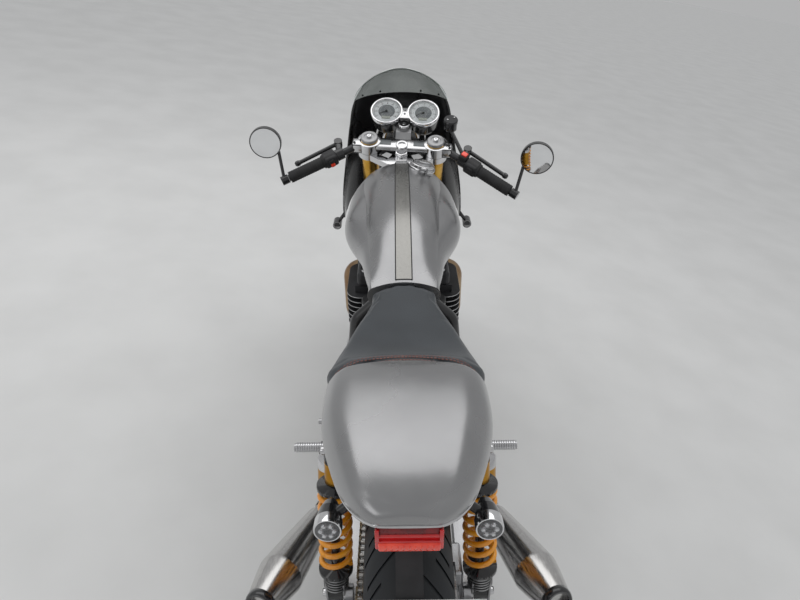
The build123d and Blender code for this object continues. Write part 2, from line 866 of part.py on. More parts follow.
def pad_section(row):
    y, half, bottom, top, edge = row
    with BuildSketch(Plane.XZ.offset(-y)) as section:
        with BuildLine():
            Line((-half + 6, bottom), (half - 6, bottom))
            ThreePointArc((half - 6, bottom), (half, top - edge - 4), (half - edge, top - 7))
            ThreePointArc((half - edge, top - 7), (0, top), (-half + edge, top - 7))
            ThreePointArc((-half + edge, top - 7), (-half, top - edge - 4), (-half + 6, bottom))
        make_face()
    return section.sketch


cowl_sections = [
    # y, half width, bottom z, top z, edge
    (189.5, 138, 770, 840, 26),
    (135, 143, 772, 872, 40),
    (60, 144, 776, 884, 52),
    (-40, 128, 784, 882, 52),
    (-110, 103, 792, 874, 46),
    (-152, 77, 800, 861, 33),
    (-172, 54, 807, 849, 18),
    (-177, 45, 810, 844, 12),
]


def lowered(row):
    y, half, bottom, top, edge = row
    return y, half, bottom - seat_clear, top, edge


seat_pad = loft([pad_section(row) for row in seat_sections])
seat_cowl = loft([pad_section(row) for row in cowl_sections])
under_seat = loft([pad_section(lowered(row)) for row in seat_sections])
under_cowl = loft([pad_section(lowered(row)) for row in cowl_sections])
main_frame = main_frame_solid()
rear_frame = rear_frame_solid() - main_frame - under_seat - under_cowl


def side_panel(side):
    face = [(405, 690), (498, 698), (512, 660), (512, 575), (480, 530), (418, 560)]
    low = min(side * (airbox_half - 2), side * (airbox_half + 18))
    return side_plate(face, low, low + 20)


def airbox_solid():
    case = box((0, (airbox_front + airbox_back) / 2, 615),
               (2 * airbox_half, airbox_front - airbox_back, 170), 12)
    return case + side_panel(-1) + side_panel(1)


# Swingarm, shocks and drive

spool_z = rear_tyre_radius + 5


def rear_caliper():
    """Caliper over the rear disc, with its bracket on the right beam."""
    z = rear_tyre_radius + rear_disc_radius * 0.74
    body = box((rear_disc_x + 2, 62, z), (34, 74, 44), 6)
    slot = disc_x(rear_disc_x - 5, rear_disc_x + 5, rear_disc_radius + 5, 0, rear_tyre_radius)
    bracket = box((rear_disc_x + 17, 62, z - 30), (10, 50, 60))
    return body + bracket - slot


def swingarm_beam(side):
    """One beam, with the boss and stud for the shock's lower eye and a threaded hole for a spool."""
    outer_face = arm_x + arm_width / 2
    outline = [(pivot_y + 26, pivot_z + 18), (pivot_y + 26, pivot_z - 18), (pivot_y - 80, pivot_z - 30),
               (-48, rear_tyre_radius - 30), (-60, rear_tyre_radius), (-48, rear_tyre_radius + 30),
               (pivot_y - 80, pivot_z + 30)]
    beam = side_plate(outline, side * arm_x - arm_width / 2, side * arm_x + arm_width / 2)
    beam = fillet(beam.edges().filter_by(Axis.X), 12)
    boss_end = shock_x - shock_eye_half - 2
    eye_place = (shock_lower_y, shock_lower_z)
    beam += disc_x(side * (arm_x - 4), side * boss_end, 16, *eye_place)
    beam += disc_x(side * (arm_x + 6), side * (shock_x + 22), shock_stud_radius, *eye_place)
    return beam - disc_x(side * outer_face, side * (outer_face - spool_hole_depth), spool_hole_radius,
                         spool_y, spool_z)


def swingarm_solid():
    arm = swingarm_beam(-1) + swingarm_beam(1)
    arm += disc_x(-arm_x, arm_x, 24, pivot_y, pivot_z)
    arm += disc_x(-upright_x - 18, upright_x + 18, spindle_radius, pivot_y, pivot_z)
    arm += box((0, 400, pivot_z - 2), (2 * arm_x, 40, 44), 8)
    arm += rear_caliper()
    arm += disc_x(-arm_x - 22, arm_x + 22, axle_radius, 0, rear_tyre_radius)
    return arm


low_seat = 70
high_seat = 84
seat_thickness = 8


def shock_frame(side):
    """Both eyes, the way from the lower one to the upper one, and how far it is."""
    low = Vector(side * shock_x, shock_lower_y, shock_lower_z)
    high = Vector(side * shock_upper_x, shock_upper_y, shock_upper_z)
    return low, high, (high - low).normalized(), (high - low).length


def shock_eye(center):
    left = center.X - shock_eye_half
    right = center.X + shock_eye_half
    return ring_x(left, right, shock_eye_radius, shock_stud_radius + clamp_clear, center.Y, center.Z)


def shock_body(side):
    low, high, up, length = shock_frame(side)
    body = rod(low + up * 14, high - up * 14, 9)
    body += rod(low + up * 20, low + up * (low_seat - seat_thickness), 24)
    body += rod(high - up * 70, high - up * 20, 26)
    body += rod(low + up * (low_seat - seat_thickness), low + up * low_seat, spring_radius + 6)
    body += rod(high - up * high_seat, high - up * (high_seat - seat_thickness), spring_radius + 6)
    bottom, top = reservoir_ends(side)
    body += rod(high - up * 58, top + up * 12, 14)
    return body + shock_eye(low) + shock_eye(high) - reservoir(side)


def reservoir_ends(side):
    low, high, up, length = shock_frame(side)
    top = high - up * 78 + Vector(side * 14, 62, 0)
    return top - up * 112, top


def reservoir(side):
    bottom, top = reservoir_ends(side)
    return rod(bottom, top, reservoir_radius)


def shock_spring(side):
    low, high, up, length = shock_frame(side)
    wire_room = spring_wire_radius + seat_clear
    start = low + up * (low_seat + wire_room)
    span = length - low_seat - high_seat - 2 * wire_room
    plane = Plane(origin=start, x_dir=X_AXIS, z_dir=up)
    path = Helix(pitch=span / spring_turns, height=span, radius=spring_radius)
    section = Plane(origin=path @ 0, z_dir=path % 0) * Circle(spring_wire_radius)
    wound = sweep(section, path=path, is_frenet=True)
    return plane.location * wound


front_sprocket_radius = chain_pitch / (2 * sind(180 / front_sprocket_teeth))
plate_reach = 8
waist_reach = 5.6
chain_inside = 4.6


def chain_point(distance, reach):
    """The point that far along the pitch line from the top of the rear sprocket, moved out by reach."""
    rise = gearbox_z - rear_tyre_radius
    between = math.hypot(gearbox_y, rise)
    tilt = math.atan2(rise, gearbox_y)
    wrap = math.asin((sprocket_pitch_radius - front_sprocket_radius) / between)
    run = between * math.cos(wrap)
    front_arc = (math.pi - 2 * wrap) * front_sprocket_radius
    rear_arc = (math.pi + 2 * wrap) * sprocket_pitch_radius
    top = math.pi / 2 + tilt - wrap
    low = -math.pi / 2 + tilt + wrap
    distance %= 2 * run + front_arc + rear_arc
    if distance < run:
        y, z, radius, angle = 0, rear_tyre_radius, sprocket_pitch_radius, top
        along = distance
    elif distance < run + front_arc:
        y, z, radius = gearbox_y, gearbox_z, front_sprocket_radius
        angle = top - (distance - run) / radius
        along = 0
    elif distance < 2 * run + front_arc:
        y, z, radius, angle = gearbox_y, gearbox_z, front_sprocket_radius, low
        along = distance - run - front_arc
    else:
        y, z, radius = 0, rear_tyre_radius, sprocket_pitch_radius
        angle = low - (distance - 2 * run - front_arc) / radius
        along = 0
    return (y + (radius + reach) * math.cos(angle) + along * math.sin(angle),
            z + (radius + reach) * math.sin(angle) - along * math.cos(angle))


def chain_length():
    between = math.hypot(gearbox_y, gearbox_z - rear_tyre_radius)
    wrap = math.asin((sprocket_pitch_radius - front_sprocket_radius) / between)
    return (2 * between * math.cos(wrap) + (math.pi - 2 * wrap) * front_sprocket_radius
            + (math.pi + 2 * wrap) * sprocket_pitch_radius)


def drive_chain_solid():
    """Side plates full at each pin and waisted between two, round both sprockets."""
    length = chain_length()
    links = round(length / chain_pitch)
    outer = [chain_point(index * length / links / 2, waist_reach if index % 2 else plate_reach)
             for index in range(2 * links)]
    inner = [chain_point(index * length / links, chain_inside) for index in range(links)]
    plane = Plane.YZ.offset(chain_x - chain_width / 2)
    band = make_face(Polyline(*outer, close=True)) - make_face(Polyline(*inner, close=True))
    return extrude(plane * band, chain_width)


guard_front_angle = 44
guard_back_angle = 9
guard_stays = [
    # x, y, height of the cross tube above
    (0, front_cross_y, front_cross_z),
    (-45, rear_cross_y + 10, rear_cross_z),
    (45, rear_cross_y + 10, rear_cross_z),
]


def rear_mudguard_solid():
    outer = guard_top - rear_tyre_radius
    inner = outer - guard_wall
    section = Plane.XZ * (Pos(0, (inner + outer) / 2) * Rectangle(2 * guard_half, guard_wall))
    shell = revolve(section, Axis.X, revolution_arc=guard_front_angle + guard_back_angle)
    shell = to_rear(Rot(-guard_front_angle, 0, 0) * shell)
    for x, y, cross_z in guard_stays:
        foot = rear_tyre_radius + math.sqrt(inner ** 2 - y ** 2) + guard_wall / 2
        shell += rod((x, y, foot), (x, y, cross_z - cross_radius - seat_clear), 8)
    return shell


def tail_light_solid():
    """The lamp's box under the end of the cowl, with the neck that holds it there."""
    case = box((0, -152, 788), (2 * tail_light_half, 48, 32), 3)
    neck = box((0, -148, 806), (2 * tail_light_half - 20, 22, 40))
    return case + neck - under_cowl


indicator_rows = [
    # distance from the nose, radius
    (0, 5), (10, 12), (26, 18), (48, 22), (68, 22),
]


def rear_indicator(side):
    body = lathe(Vector(side * 128, -36, 713), Vector(0, -68, 8), indicator_rows)
    stalk = rod((side * 84, -66, 750), (side * 120, -74, 722), 8)
    return body + stalk - seat_rail(side, seat_rail_radius + seat_clear)


def front_indicator(side):
    body = rod((side * 226, 1236, 650), (side * 226, 1200, 648), 15)
    stalk = rod((side * 188, 1220, 700), (side * 222, 1218, 655), 6)
    return body + stalk - fairing_skin


plate_radius = rear_tyre_radius + plate_clear
plate_y = -plate_radius * sind(plate_angle)
plate_z = rear_tyre_radius + plate_radius * cosd(plate_angle)
plate_place = Pos(0, plate_y, plate_z) * Rot(-plate_tilt, 0, 0)
plate_size = (210, 3, 130)
pad_size = (120, 3.4, 80)
hanger_half = 21


def number_plate_solid():
    return plate_place * Box(*plate_size)


def plate_hanger_solid():
    """A moulded arm from the frame's rear cross tube down to a pad behind the plate."""
    top = rear_cross_z - 3
    outline = [(rear_cross_y - 6, top), (rear_cross_y - 60, top - 10), (plate_y + 50, plate_z + 72),
               (plate_y + 14, plate_z + 34), (plate_y + 6, plate_z - 20), (plate_y + 24, plate_z - 20),
               (plate_y + 30, plate_z + 26), (plate_y + 64, plate_z + 60), (rear_cross_y - 60, top - 24),
               (rear_cross_y - 6, top - 22)]
    arm = side_plate(outline, -hanger_half, hanger_half)
    back_face = plate_size[1] / 2 + seat_clear
    pad = plate_place * Pos(0, back_face + pad_size[1] / 2, 5) * Box(*pad_size)
    behind = plate_place * Pos(0, back_face - 50, 0) * Box(300, 100, 300)
    return arm + pad - behind - rear_frame


peg_y = 433
peg_z = 359
peg_tip = 294
peg_radius = 11


def rearset(side):
    outline = [(520, 300), (545, 380), (500, 440), (440, 370), (400, 372), (400, 345), (450, 335), (480, 300)]
    plate = side_plate(outline, side * rearset_x - rearset_half, side * rearset_x + rearset_half)
    peg = disc_x(side * (rearset_x + 2), side * peg_tip, peg_radius, peg_y, peg_z)
    spacer = rod((side * (upright_x - 4), pivot_y - 3, 395), (side * rearset_x, 505, 395), 9)
    return plate + peg + spacer - main_frame


def pedal(side):
    """Brake pedal or gear pedal, turning on the foot rest."""
    x = side * (rearset_x + 14)
    toe_y = 560
    toe_z = 330
    arm = rod((x, peg_y, peg_z), (x, toe_y, toe_z), 7)
    toe = rod((x, toe_y, toe_z), (x + side * 54, toe_y + 2, toe_z), 8)
    hub = disc_x(x - 8, x + 8, 17, peg_y, peg_z)
    return arm + toe + hub - disc_x(x - 40, x + 40, peg_radius + seat_clear, peg_y, peg_z)


# Fairing, screen and headlight

fairing_wall = 4
fairing_levels = [
    # z, half width, nose y
    (680, 198, 1418),
    (760, 199, 1468),
    (850, 188, 1497),
    (950, 174, 1494),
    (1042, 160, 1443),
]
screen_levels = [
    (1042, 160, 1443),
    (1076, 149, 1418),
    (1108, 118, 1386),
    (1132, 66, 1356),
    (1141, 28, 1338),
]
fairing_back = 1140


def nose_section(level, inset):
    z, half, nose = level
    half -= inset
    nose -= inset
    side_y = nose - half
    with BuildSketch(Plane.XY.offset(z)) as section:
        with BuildLine():
            Line((-half, fairing_back), (half, fairing_back))
            Line((half, fairing_back), (half, side_y))
            ThreePointArc((half, side_y), (0, nose), (-half, side_y))
            Line((-half, side_y), (-half, fairing_back))
        make_face()
    return section.sketch


headlight_z = 880
fairing_outline = [(1330, 1042), (1600, 1042), (1600, headlight_z - 110), (1460, headlight_z - 110),
                   (1380, 725), (1260, 685), (1185, 685), (1196, 760), (1250, 845), (1300, 900),
                   (1308, 980)]
headlight_radius = 88
headlight_y = 1478
headlight_back = 1400


def fairing_loft(inset):
    return loft([nose_section(level, inset) for level in fairing_levels])


def fairing_solid():
    """An open shell cut to its side outline, with a round hole for the headlight."""
    shell = fairing_loft(0) - fairing_loft(fairing_wall)
    shell = shell & side_plate(fairing_outline, -260, 260)
    return shell - rod((0, 1380, headlight_z), (0, 1600, headlight_z), headlight_radius + 2)


def screen_solid():
    wall = 3
    outer = loft([nose_section(level, 0) for level in screen_levels])
    inner = loft([nose_section((z - (wall if index else 1), half, nose), wall)
                  for index, (z, half, nose) in enumerate(screen_levels)])
    shell = outer - inner
    return shell & side_plate([(1322, 1042.5), (1600, 1042.5), (1600, 1200), (1322, 1200)], -260, 260)


def headlight_solid():
    bucket = rod((0, headlight_back, headlight_z), (0, headlight_y, headlight_z), headlight_radius - 2)
    bucket = fillet(bucket.edges().group_by(Axis.Y)[0], 30)
    lens = rod((0, headlight_y, headlight_z), (0, headlight_y + 16, headlight_z), headlight_radius - 2)
    lens = fillet(lens.edges().group_by(Axis.Y)[-1], 12)
    return bucket + lens


fairing = fairing_solid()
fairing_skin = fairing_loft(-seat_clear)
stay_back = 1163
stay_z = 868


def fairing_stay_solid():
    """The bar from the head tube to the lamp, with a cross rod that holds both sides of the fairing."""
    front = headlight_back - seat_clear
    bar = box((0, (stay_back + front) / 2, stay_z), (36, front - stay_back, 26), 6)
    cross = disc_x(-200, 200, 8, 1340, stay_z)
    return (bar + cross) & fairing_loft(fairing_wall + seat_clear) - main_frame


# Filler lid and its hinge

def filler_lid_solid():
    lid = rod((0, 0, 0), (0, 0, lid_thickness), filler_radius - 1)
    lid = fillet(lid.edges().group_by(Axis.Z)[-1], 3)
    arm = box((0, -hinge_back + 6, hinge_up), (14, 20, 6))
    knuckle = disc_x(-7, 7, 5, -hinge_back, hinge_up)
    lid = lid + arm + knuckle - disc_x(-20, 20, hinge_pin + running_clearance, -hinge_back, hinge_up)
    return filler_place * lid


# Side stand: leg in the upright frame, foot flat on the ground of the parked machine

rear_tread = crown_points(rear_tyre_radius, rear_tyre_width, rear_crown_drop)
front_tread = crown_points(front_tyre_radius, front_tyre_width, front_crown_drop)


def low_point(center, axis, tread):
    return min(center.Z + x * axis.Z - radius * math.sqrt(1 - axis.Z ** 2) for x, radius in tread)


def parked_place():
    """Lean, then the small pitch and lift that put both tyres on the ground."""
    pitch = 0.0
    front_center = steering_plane.from_local_coords(Vector(0, fork_offset, front_axle_height))
    for attempt in range(6):
        place = Rotation(pitch, 0, 0) * Rotation(0, -lean, 0)
        lows = []
        for center, axis_dir, tread in (
                (Vector(0, 0, rear_tyre_radius), Vector(1, 0, 0), rear_tread),
                (turned_point(front_center), turned_direction(Vector(1, 0, 0)), front_tread)):
            placed_center = moved_point(place, center)
            placed_axis = moved_point(place, axis_dir)
            lows.append(low_point(placed_center, placed_axis, tread))
        pitch -= math.degrees(math.atan2(lows[1] - lows[0], wheelbase))
    return Pos(0, 0, -lows[0]) * place


def moved_point(place, point):
    return Vector(*(place * Pos(point.X, point.Y, point.Z)).position)


def turned_location():
    return steering_place * Rotation(0, 0, -steering_turn) * steering_place.inverse()


def turned_point(point):
    return moved_point(turned_location(), point)


def turned_direction(direction):
    zero = turned_point(Vector(0, 0, 0))
    return turned_point(direction) - zero


parked = parked_place()


def on_stand_axis(start, end, radius):
    return rod(stand_pivot + stand_axis * start, stand_pivot + stand_axis * end, radius)


def side_stand_solid():
    origin = moved_point(parked.inverse(), Vector(0, 0, 0))
    up = moved_point(parked.inverse(), Vector(0, 0, 1)) - origin
    foot_z = origin.Z - ((stand_foot_x - origin.X) * up.X + (stand_foot_y - origin.Y) * up.Y) / up.Z
    foot = Vector(stand_foot_x, stand_foot_y, foot_z)
    pad_plane = Plane(origin=foot, x_dir=Vector(0, 1, 0), z_dir=up)
    pad = extrude(pad_plane * RectangleRounded(62, 46, 12), 9)
    above = pad_plane.location * Pos(0, 0, 300) * Box(900, 900, 600)
    leg = rod(stand_pivot, foot + up * 12, stand_leg_radius) - stand_space()
    hub = on_stand_axis(-stand_hub_half, stand_hub_half, 17)
    return (leg & above) + pad + hub - on_stand_axis(-30, 30, stand_pin_radius + running_clearance)


def stand_space():
    """The half of space on the frame's side of the stand's hub."""
    face = stand_pivot - stand_axis * (stand_hub_half + seat_clear)
    return extrude(Plane(origin=face, z_dir=-stand_axis) * Rectangle(400, 400), 200)


def stand_bracket_solid():
    lug = box((-124.5, stand_pivot.Y, stand_pivot.Z - 20), (23, 44, 76))
    return (lug & stand_space()) + on_stand_axis(-14, 13, stand_pin_radius)


main_frame = main_frame + stand_bracket_solid()

upright_nodes = {
    "main_frame": main_frame,
    "rear_frame": rear_frame,
    "crankcase": crankcase,
    "cylinders": cylinders_solid(),
    "cam_cover": cam_cover_solid(),
    "engine_covers": [left_cover(), sprocket_cover(), right_covers()],
    "throttle_bodies": [throttle_body(-1), throttle_body(1)],
    "header_pipes": header_pipes,
    "collector_box": collector_box,
    "silencers": silencers,
    "radiator": radiator_solid(),
    "fuel_tank": fuel_tank_solid(),
    "tank_strap": tank_strap_solid(),
    "seat_pad": seat_pad,
    "seat_cowl": seat_cowl,
    "airbox": airbox_solid(),
    "swingarm": swingarm_solid(),
    "shock_bodies": [shock_body(-1), shock_body(1)],
    "shock_reservoirs": [reservoir(-1), reservoir(1)],
    "shock_springs": [shock_spring(-1), shock_spring(1)],
    "drive_chain": drive_chain_solid(),
    "rear_mudguard": rear_mudguard_solid(),
    "tail_light": tail_light_solid(),
    "rear_indicators": [rear_indicator(-1), rear_indicator(1)],
    "front_indicators": [front_indicator(-1), front_indicator(1)],
    "number_plate": number_plate_solid(),
    "plate_hanger": plate_hanger_solid(),
    "rearsets": [rearset(-1), rearset(1)],
    "pedals": [pedal(-1), pedal(1)],
    "fairing": fairing,
    "fairing_stay": fairing_stay_solid(),
    "screen": screen_solid(),
    "headlight": headlight_solid(),
    "side_stand": side_stand_solid(),
    "filler_lid": filler_lid_solid(),
    "rear_tyre": rear_tyre,
    "rear_rim": rear_rim,
    "rear_hub": rear_hub,
    "rear_sprocket": rear_sprocket,
    "rear_disc": rear_disc,
}

steered_nodes = dict(steering_nodes)
steered_nodes.update({
    "front_tyre": front_tyre,
    "front_rim": front_rim,
    "front_hub": front_hub,
    "front_discs": front_discs,
})


# Placing and writing

def as_list(shape):
    items = list(shape) if isinstance(shape, (list, tuple)) else [shape]
    solids = []
    for item in items:
        solids += list(item.solids())
    return solids


nodes = {}
for name, shape in upright_nodes.items():
    nodes[name] = [parked * solid for solid in as_list(shape)]
for name, shape in steered_nodes.items():
    place = parked * turned_location() * steering_place
    nodes[name] = [place * solid for solid in as_list(shape)]

low_corner = [1e9, 1e9, 1e9]
high_corner = [-1e9, -1e9, -1e9]
for solids in nodes.values():
    for solid in solids:
        bounds = solid.bounding_box()
        low_corner = [min(a, b) for a, b in zip(low_corner, tuple(bounds.min))]
        high_corner = [max(a, b) for a, b in zip(high_corner, tuple(bounds.max))]
shift = Pos(-(low_corner[0] + high_corner[0]) / 2, -(low_corner[1] + high_corner[1]) / 2, 0)
print("shift", tuple(shift.position), "low", low_corner, "high", high_corner)

os.makedirs("parts", exist_ok=True)
for name, solids in nodes.items():
    placed = [shift * solid for solid in solids]
    export_step(Compound(children=placed) if len(placed) > 1 else placed[0], f"parts/{name}.step")
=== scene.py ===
import json
import math
import bpy
from mathutils import Matrix, Vector


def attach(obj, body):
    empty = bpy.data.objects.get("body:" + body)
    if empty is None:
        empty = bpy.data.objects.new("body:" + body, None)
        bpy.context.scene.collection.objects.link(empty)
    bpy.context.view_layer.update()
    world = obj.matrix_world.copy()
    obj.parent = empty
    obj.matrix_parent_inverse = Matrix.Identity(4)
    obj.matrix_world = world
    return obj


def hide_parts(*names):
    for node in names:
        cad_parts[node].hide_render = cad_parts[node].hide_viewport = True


# Cafe racer motorcycle: the finish of every piece and the detail that the solids leave out.

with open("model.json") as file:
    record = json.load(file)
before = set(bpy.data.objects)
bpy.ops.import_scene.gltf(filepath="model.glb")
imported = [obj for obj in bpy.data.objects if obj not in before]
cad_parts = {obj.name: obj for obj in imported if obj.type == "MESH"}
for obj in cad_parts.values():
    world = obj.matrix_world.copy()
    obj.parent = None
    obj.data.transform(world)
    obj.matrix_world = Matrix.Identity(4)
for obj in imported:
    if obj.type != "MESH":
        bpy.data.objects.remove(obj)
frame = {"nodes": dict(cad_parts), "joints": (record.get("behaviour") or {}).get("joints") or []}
nodes = frame["nodes"]
joints = {joint["name"]: joint for joint in frame["joints"]}
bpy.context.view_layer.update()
print("frame loaded,", len(nodes), "nodes")


# Placing. Pieces are made on the upright machine and then set on the parked one.

machine = {
    "rearTyreRadius": 0.312,   # the rear axle's height on the upright machine
    "fairingMiddle": (0, 1.25, 0.87),   # a point well inside the fairing
    "steerJointHeight": 0.905,   # where the steer joint lies along the steering axis
}


def uprightPlacement():
    lateral = Vector(joints["rear_wheel_spin"]["axis"]).normalized()
    forward = Vector((0, 1, 0)) - lateral * lateral.y
    forward.normalize()
    up = lateral.cross(forward)
    origin = Vector(joints["rear_wheel_spin"]["pos_m"]) - up * machine["rearTyreRadius"]
    axes = Matrix((lateral, forward, up)).transposed().to_4x4()
    return Matrix.Translation(origin) @ axes


def forkPlacement():
    lateral = Vector(joints["front_wheel_spin"]["axis"]).normalized()
    up = Vector(joints["steer"]["axis"]).normalized()
    forward = up.cross(lateral).normalized()
    lateral = forward.cross(up)
    origin = Vector(joints["steer"]["pos_m"]) - up * machine["steerJointHeight"]
    axes = Matrix((lateral, forward, up)).transposed().to_4x4()
    return Matrix.Translation(origin) @ axes


upright = uprightPlacement()
forkFrame = forkPlacement()


# Camera

cameraSettings = {
    "place": (-0.00785, -0.7171, 1.5257),   # on the upright machine
    "yaw": -0.091,
    "pitch": 31.72,
    "roll": -0.764,
    "lens": 27.0,
}


def addCamera():
    yaw = math.radians(cameraSettings["yaw"])
    pitch = math.radians(cameraSettings["pitch"])
    roll = math.radians(cameraSettings["roll"])
    ahead = Vector((math.sin(yaw) * math.cos(pitch), math.cos(yaw) * math.cos(pitch), -math.sin(pitch)))
    right = Vector((math.cos(yaw), -math.sin(yaw), 0))
    above = right.cross(ahead)
    rolledRight = right * math.cos(roll) + above * math.sin(roll)
    rolledAbove = above * math.cos(roll) - right * math.sin(roll)
    turn = Matrix((rolledRight, rolledAbove, -ahead)).transposed().to_4x4()
    data = bpy.data.cameras.new("photoCamera")
    data.lens = cameraSettings["lens"]
    data.sensor_width = 36
    data.sensor_fit = "HORIZONTAL"
    data.clip_start = 0.05
    data.clip_end = 200
    camera = bpy.data.objects.new("photoCamera", data)
    camera.matrix_world = upright @ Matrix.Translation(cameraSettings["place"]) @ turn
    bpy.context.scene.collection.objects.link(camera)
    bpy.context.scene.camera = camera


addCamera()
print("camera placed")


# Materials

def startMaterial(name, colour, metallic=0.0, roughness=0.5):
    material = bpy.data.materials.new(name)
    material.use_nodes = True
    tree = material.node_tree
    shader = tree.nodes["Principled BSDF"]
    shader.inputs["Base Color"].default_value = (*colour, 1)
    shader.inputs["Metallic"].default_value = metallic
    shader.inputs["Roughness"].default_value = roughness
    return material, tree, shader


def objectPlace(tree, scale=(1, 1, 1)):
    coordinates = tree.nodes.new("ShaderNodeTexCoord")
    mapping = tree.nodes.new("ShaderNodeMapping")
    mapping.inputs["Scale"].default_value = scale
    tree.links.new(coordinates.outputs["Object"], mapping.inputs["Vector"])
    return mapping.outputs["Vector"]


def noise(tree, place, scale, detail=3.0, rough=0.5):
    texture = tree.nodes.new("ShaderNodeTexNoise")
    texture.inputs["Scale"].default_value = scale
    texture.inputs["Detail"].default_value = detail
    texture.inputs["Roughness"].default_value = rough
    tree.links.new(place, texture.inputs["Vector"])
    return texture.outputs["Fac"]


def cells(tree, place, scale, feature="F1"):
    texture = tree.nodes.new("ShaderNodeTexVoronoi")
    texture.feature = feature
    texture.inputs["Scale"].default_value = scale
    tree.links.new(place, texture.inputs["Vector"])
    return texture.outputs["Distance"]


def ramp(tree, value, low, high, lowColour, highColour):
    node = tree.nodes.new("ShaderNodeValToRGB")
    node.color_ramp.elements[0].position = low
    node.color_ramp.elements[0].color = (*lowColour, 1)
    node.color_ramp.elements[1].position = high
    node.color_ramp.elements[1].color = (*highColour, 1)
    tree.links.new(value, node.inputs["Fac"])
    return node.outputs["Color"]


def span(tree, value, low, high, lowOut, highOut):
    node = tree.nodes.new("ShaderNodeMapRange")
    for label, number in (("From Min", low), ("From Max", high), ("To Min", lowOut), ("To Max", highOut)):
        node.inputs[label].default_value = number
    tree.links.new(value, node.inputs["Value"])
    return node.outputs["Result"]


def bump(tree, shader, height, strength, distance):
    node = tree.nodes.new("ShaderNodeBump")
    node.inputs["Strength"].default_value = strength
    node.inputs["Distance"].default_value = distance
    tree.links.new(height, node.inputs["Height"])
    tree.links.new(node.outputs["Normal"], shader.inputs["Normal"])
    return node


def clouded(tree, shader, pattern, colours, roughnessRange, low=0.35, high=0.65):
    # colour and roughness both follow the pattern
    colour = ramp(tree, pattern, low, high, *colours)
    tree.links.new(colour, shader.inputs["Base Color"])
    tree.links.new(span(tree, pattern, low, high, *roughnessRange), shader.inputs["Roughness"])
    return colour


def worn(tree, shader, colours, scale, roughnessRange):
    place = objectPlace(tree)
    clouded(tree, shader, noise(tree, place, scale, 4.0), colours, roughnessRange)
    return place


def paintNodes(name):
    # metallic base with fine flake under a satin clear coat
    material, tree, shader = startMaterial(name, (0.36, 0.36, 0.365), 0.9, 0.3)
    place = objectPlace(tree)
    silver = ((0.30, 0.30, 0.305), (0.38, 0.38, 0.385))
    colour = clouded(tree, shader, noise(tree, place, 5, 4.0), silver, (0.24, 0.31))
    bump(tree, shader, noise(tree, place, 2600, 1.0), 0.05, 0.0004)
    shader.inputs["Coat Weight"].default_value = 0.35
    shader.inputs["Coat Roughness"].default_value = 0.12
    return material, tree, shader, colour


def silverPaint():
    return paintNodes("silverPaint")[0]


def fairingPaint():
    # silver outside; the faces that look at the middle of the fairing are bare black moulding
    material, tree, shader, colour = paintNodes("fairingPaint")
    coordinates = tree.nodes.new("ShaderNodeTexCoord")
    away = tree.nodes.new("ShaderNodeVectorMath")
    away.operation = "SUBTRACT"
    away.inputs[1].default_value = upright @ Vector(machine["fairingMiddle"])
    facing = tree.nodes.new("ShaderNodeVectorMath")
    facing.operation = "DOT_PRODUCT"
    tree.links.new(coordinates.outputs["Object"], away.inputs[0])
    tree.links.new(away.outputs["Vector"], facing.inputs[0])
    tree.links.new(coordinates.outputs["Normal"], facing.inputs[1])
    outside = tree.nodes.new("ShaderNodeMath")
    outside.operation = "GREATER_THAN"
    outside.inputs[1].default_value = 0
    tree.links.new(facing.outputs["Value"], outside.inputs[0])
    shade = tree.nodes.new("ShaderNodeMix")
    shade.data_type = "RGBA"
    shade.inputs["A"].default_value = (0.012, 0.012, 0.013, 1)
    tree.links.new(outside.outputs["Value"], shade.inputs["Factor"])
    tree.links.new(colour, shade.inputs["B"])
    tree.links.new(shade.outputs["Result"], shader.inputs["Base Color"])
    tree.links.new(span(tree, outside.outputs["Value"], 0, 1, 0, 0.9), shader.inputs["Metallic"])
    return material


def brushedSteel(name="brushedSteel", colours=((0.44, 0.43, 0.41), (0.60, 0.585, 0.56)), lines=(1, 40, 40)):
    # lines scale the pattern along X, Y and Z, so the streaks run where the scale is small
    material, tree, shader = startMaterial(name, colours[0], 1.0, 0.30)
    streaks = noise(tree, objectPlace(tree, lines), 22, 6.0, 0.6)
    clouded(tree, shader, streaks, colours, (0.22, 0.36), 0.3, 0.7)
    bump(tree, shader, streaks, 0.15, 0.0004)
    shader.inputs["Anisotropic"].default_value = 0.35
    return material


def strapSteel():
    return brushedSteel("strapSteel", ((0.24, 0.236, 0.224), (0.36, 0.354, 0.336)), (90, 1.5, 90))


def silencerSteel():
    # brushed stainless, polished again by hand
    material, tree, shader = startMaterial("silencerSteel", (0.58, 0.57, 0.56), 1.0, 0.22)
    streaks = noise(tree, objectPlace(tree, (12, 1, 12)), 30, 4.0, 0.6)
    clouded(tree, shader, streaks, ((0.50, 0.49, 0.48), (0.64, 0.63, 0.62)), (0.17, 0.27), 0.3, 0.7)
    return material


def brushedAlloy():
    material, tree, shader = startMaterial("brushedAlloy", (0.50, 0.50, 0.51), 1.0, 0.33)
    streaks = noise(tree, objectPlace(tree, (8, 8, 90)), 6, 5.0, 0.6)
    clouded(tree, shader, streaks, ((0.42, 0.42, 0.43), (0.60, 0.60, 0.61)), (0.26, 0.40), 0.3, 0.7)
    return material


def seatLeather():
    # dark grey hide: fine cells for the grain, wider clouds for use and light
    material, tree, shader = startMaterial("seatLeather", (0.05, 0.054, 0.06), 0.0, 0.5)
    place = objectPlace(tree)
    hide = ((0.024, 0.029, 0.034), (0.040, 0.047, 0.054))
    clouded(tree, shader, noise(tree, place, 9, 4.0), hide, (0.46, 0.58), 0.3, 0.7)
    bump(tree, shader, cells(tree, place, 420, "SMOOTH_F1"), 0.35, 0.0011)
    shader.inputs["Sheen Weight"].default_value = 0.15
    shader.inputs["Sheen Roughness"].default_value = 0.4
    return material


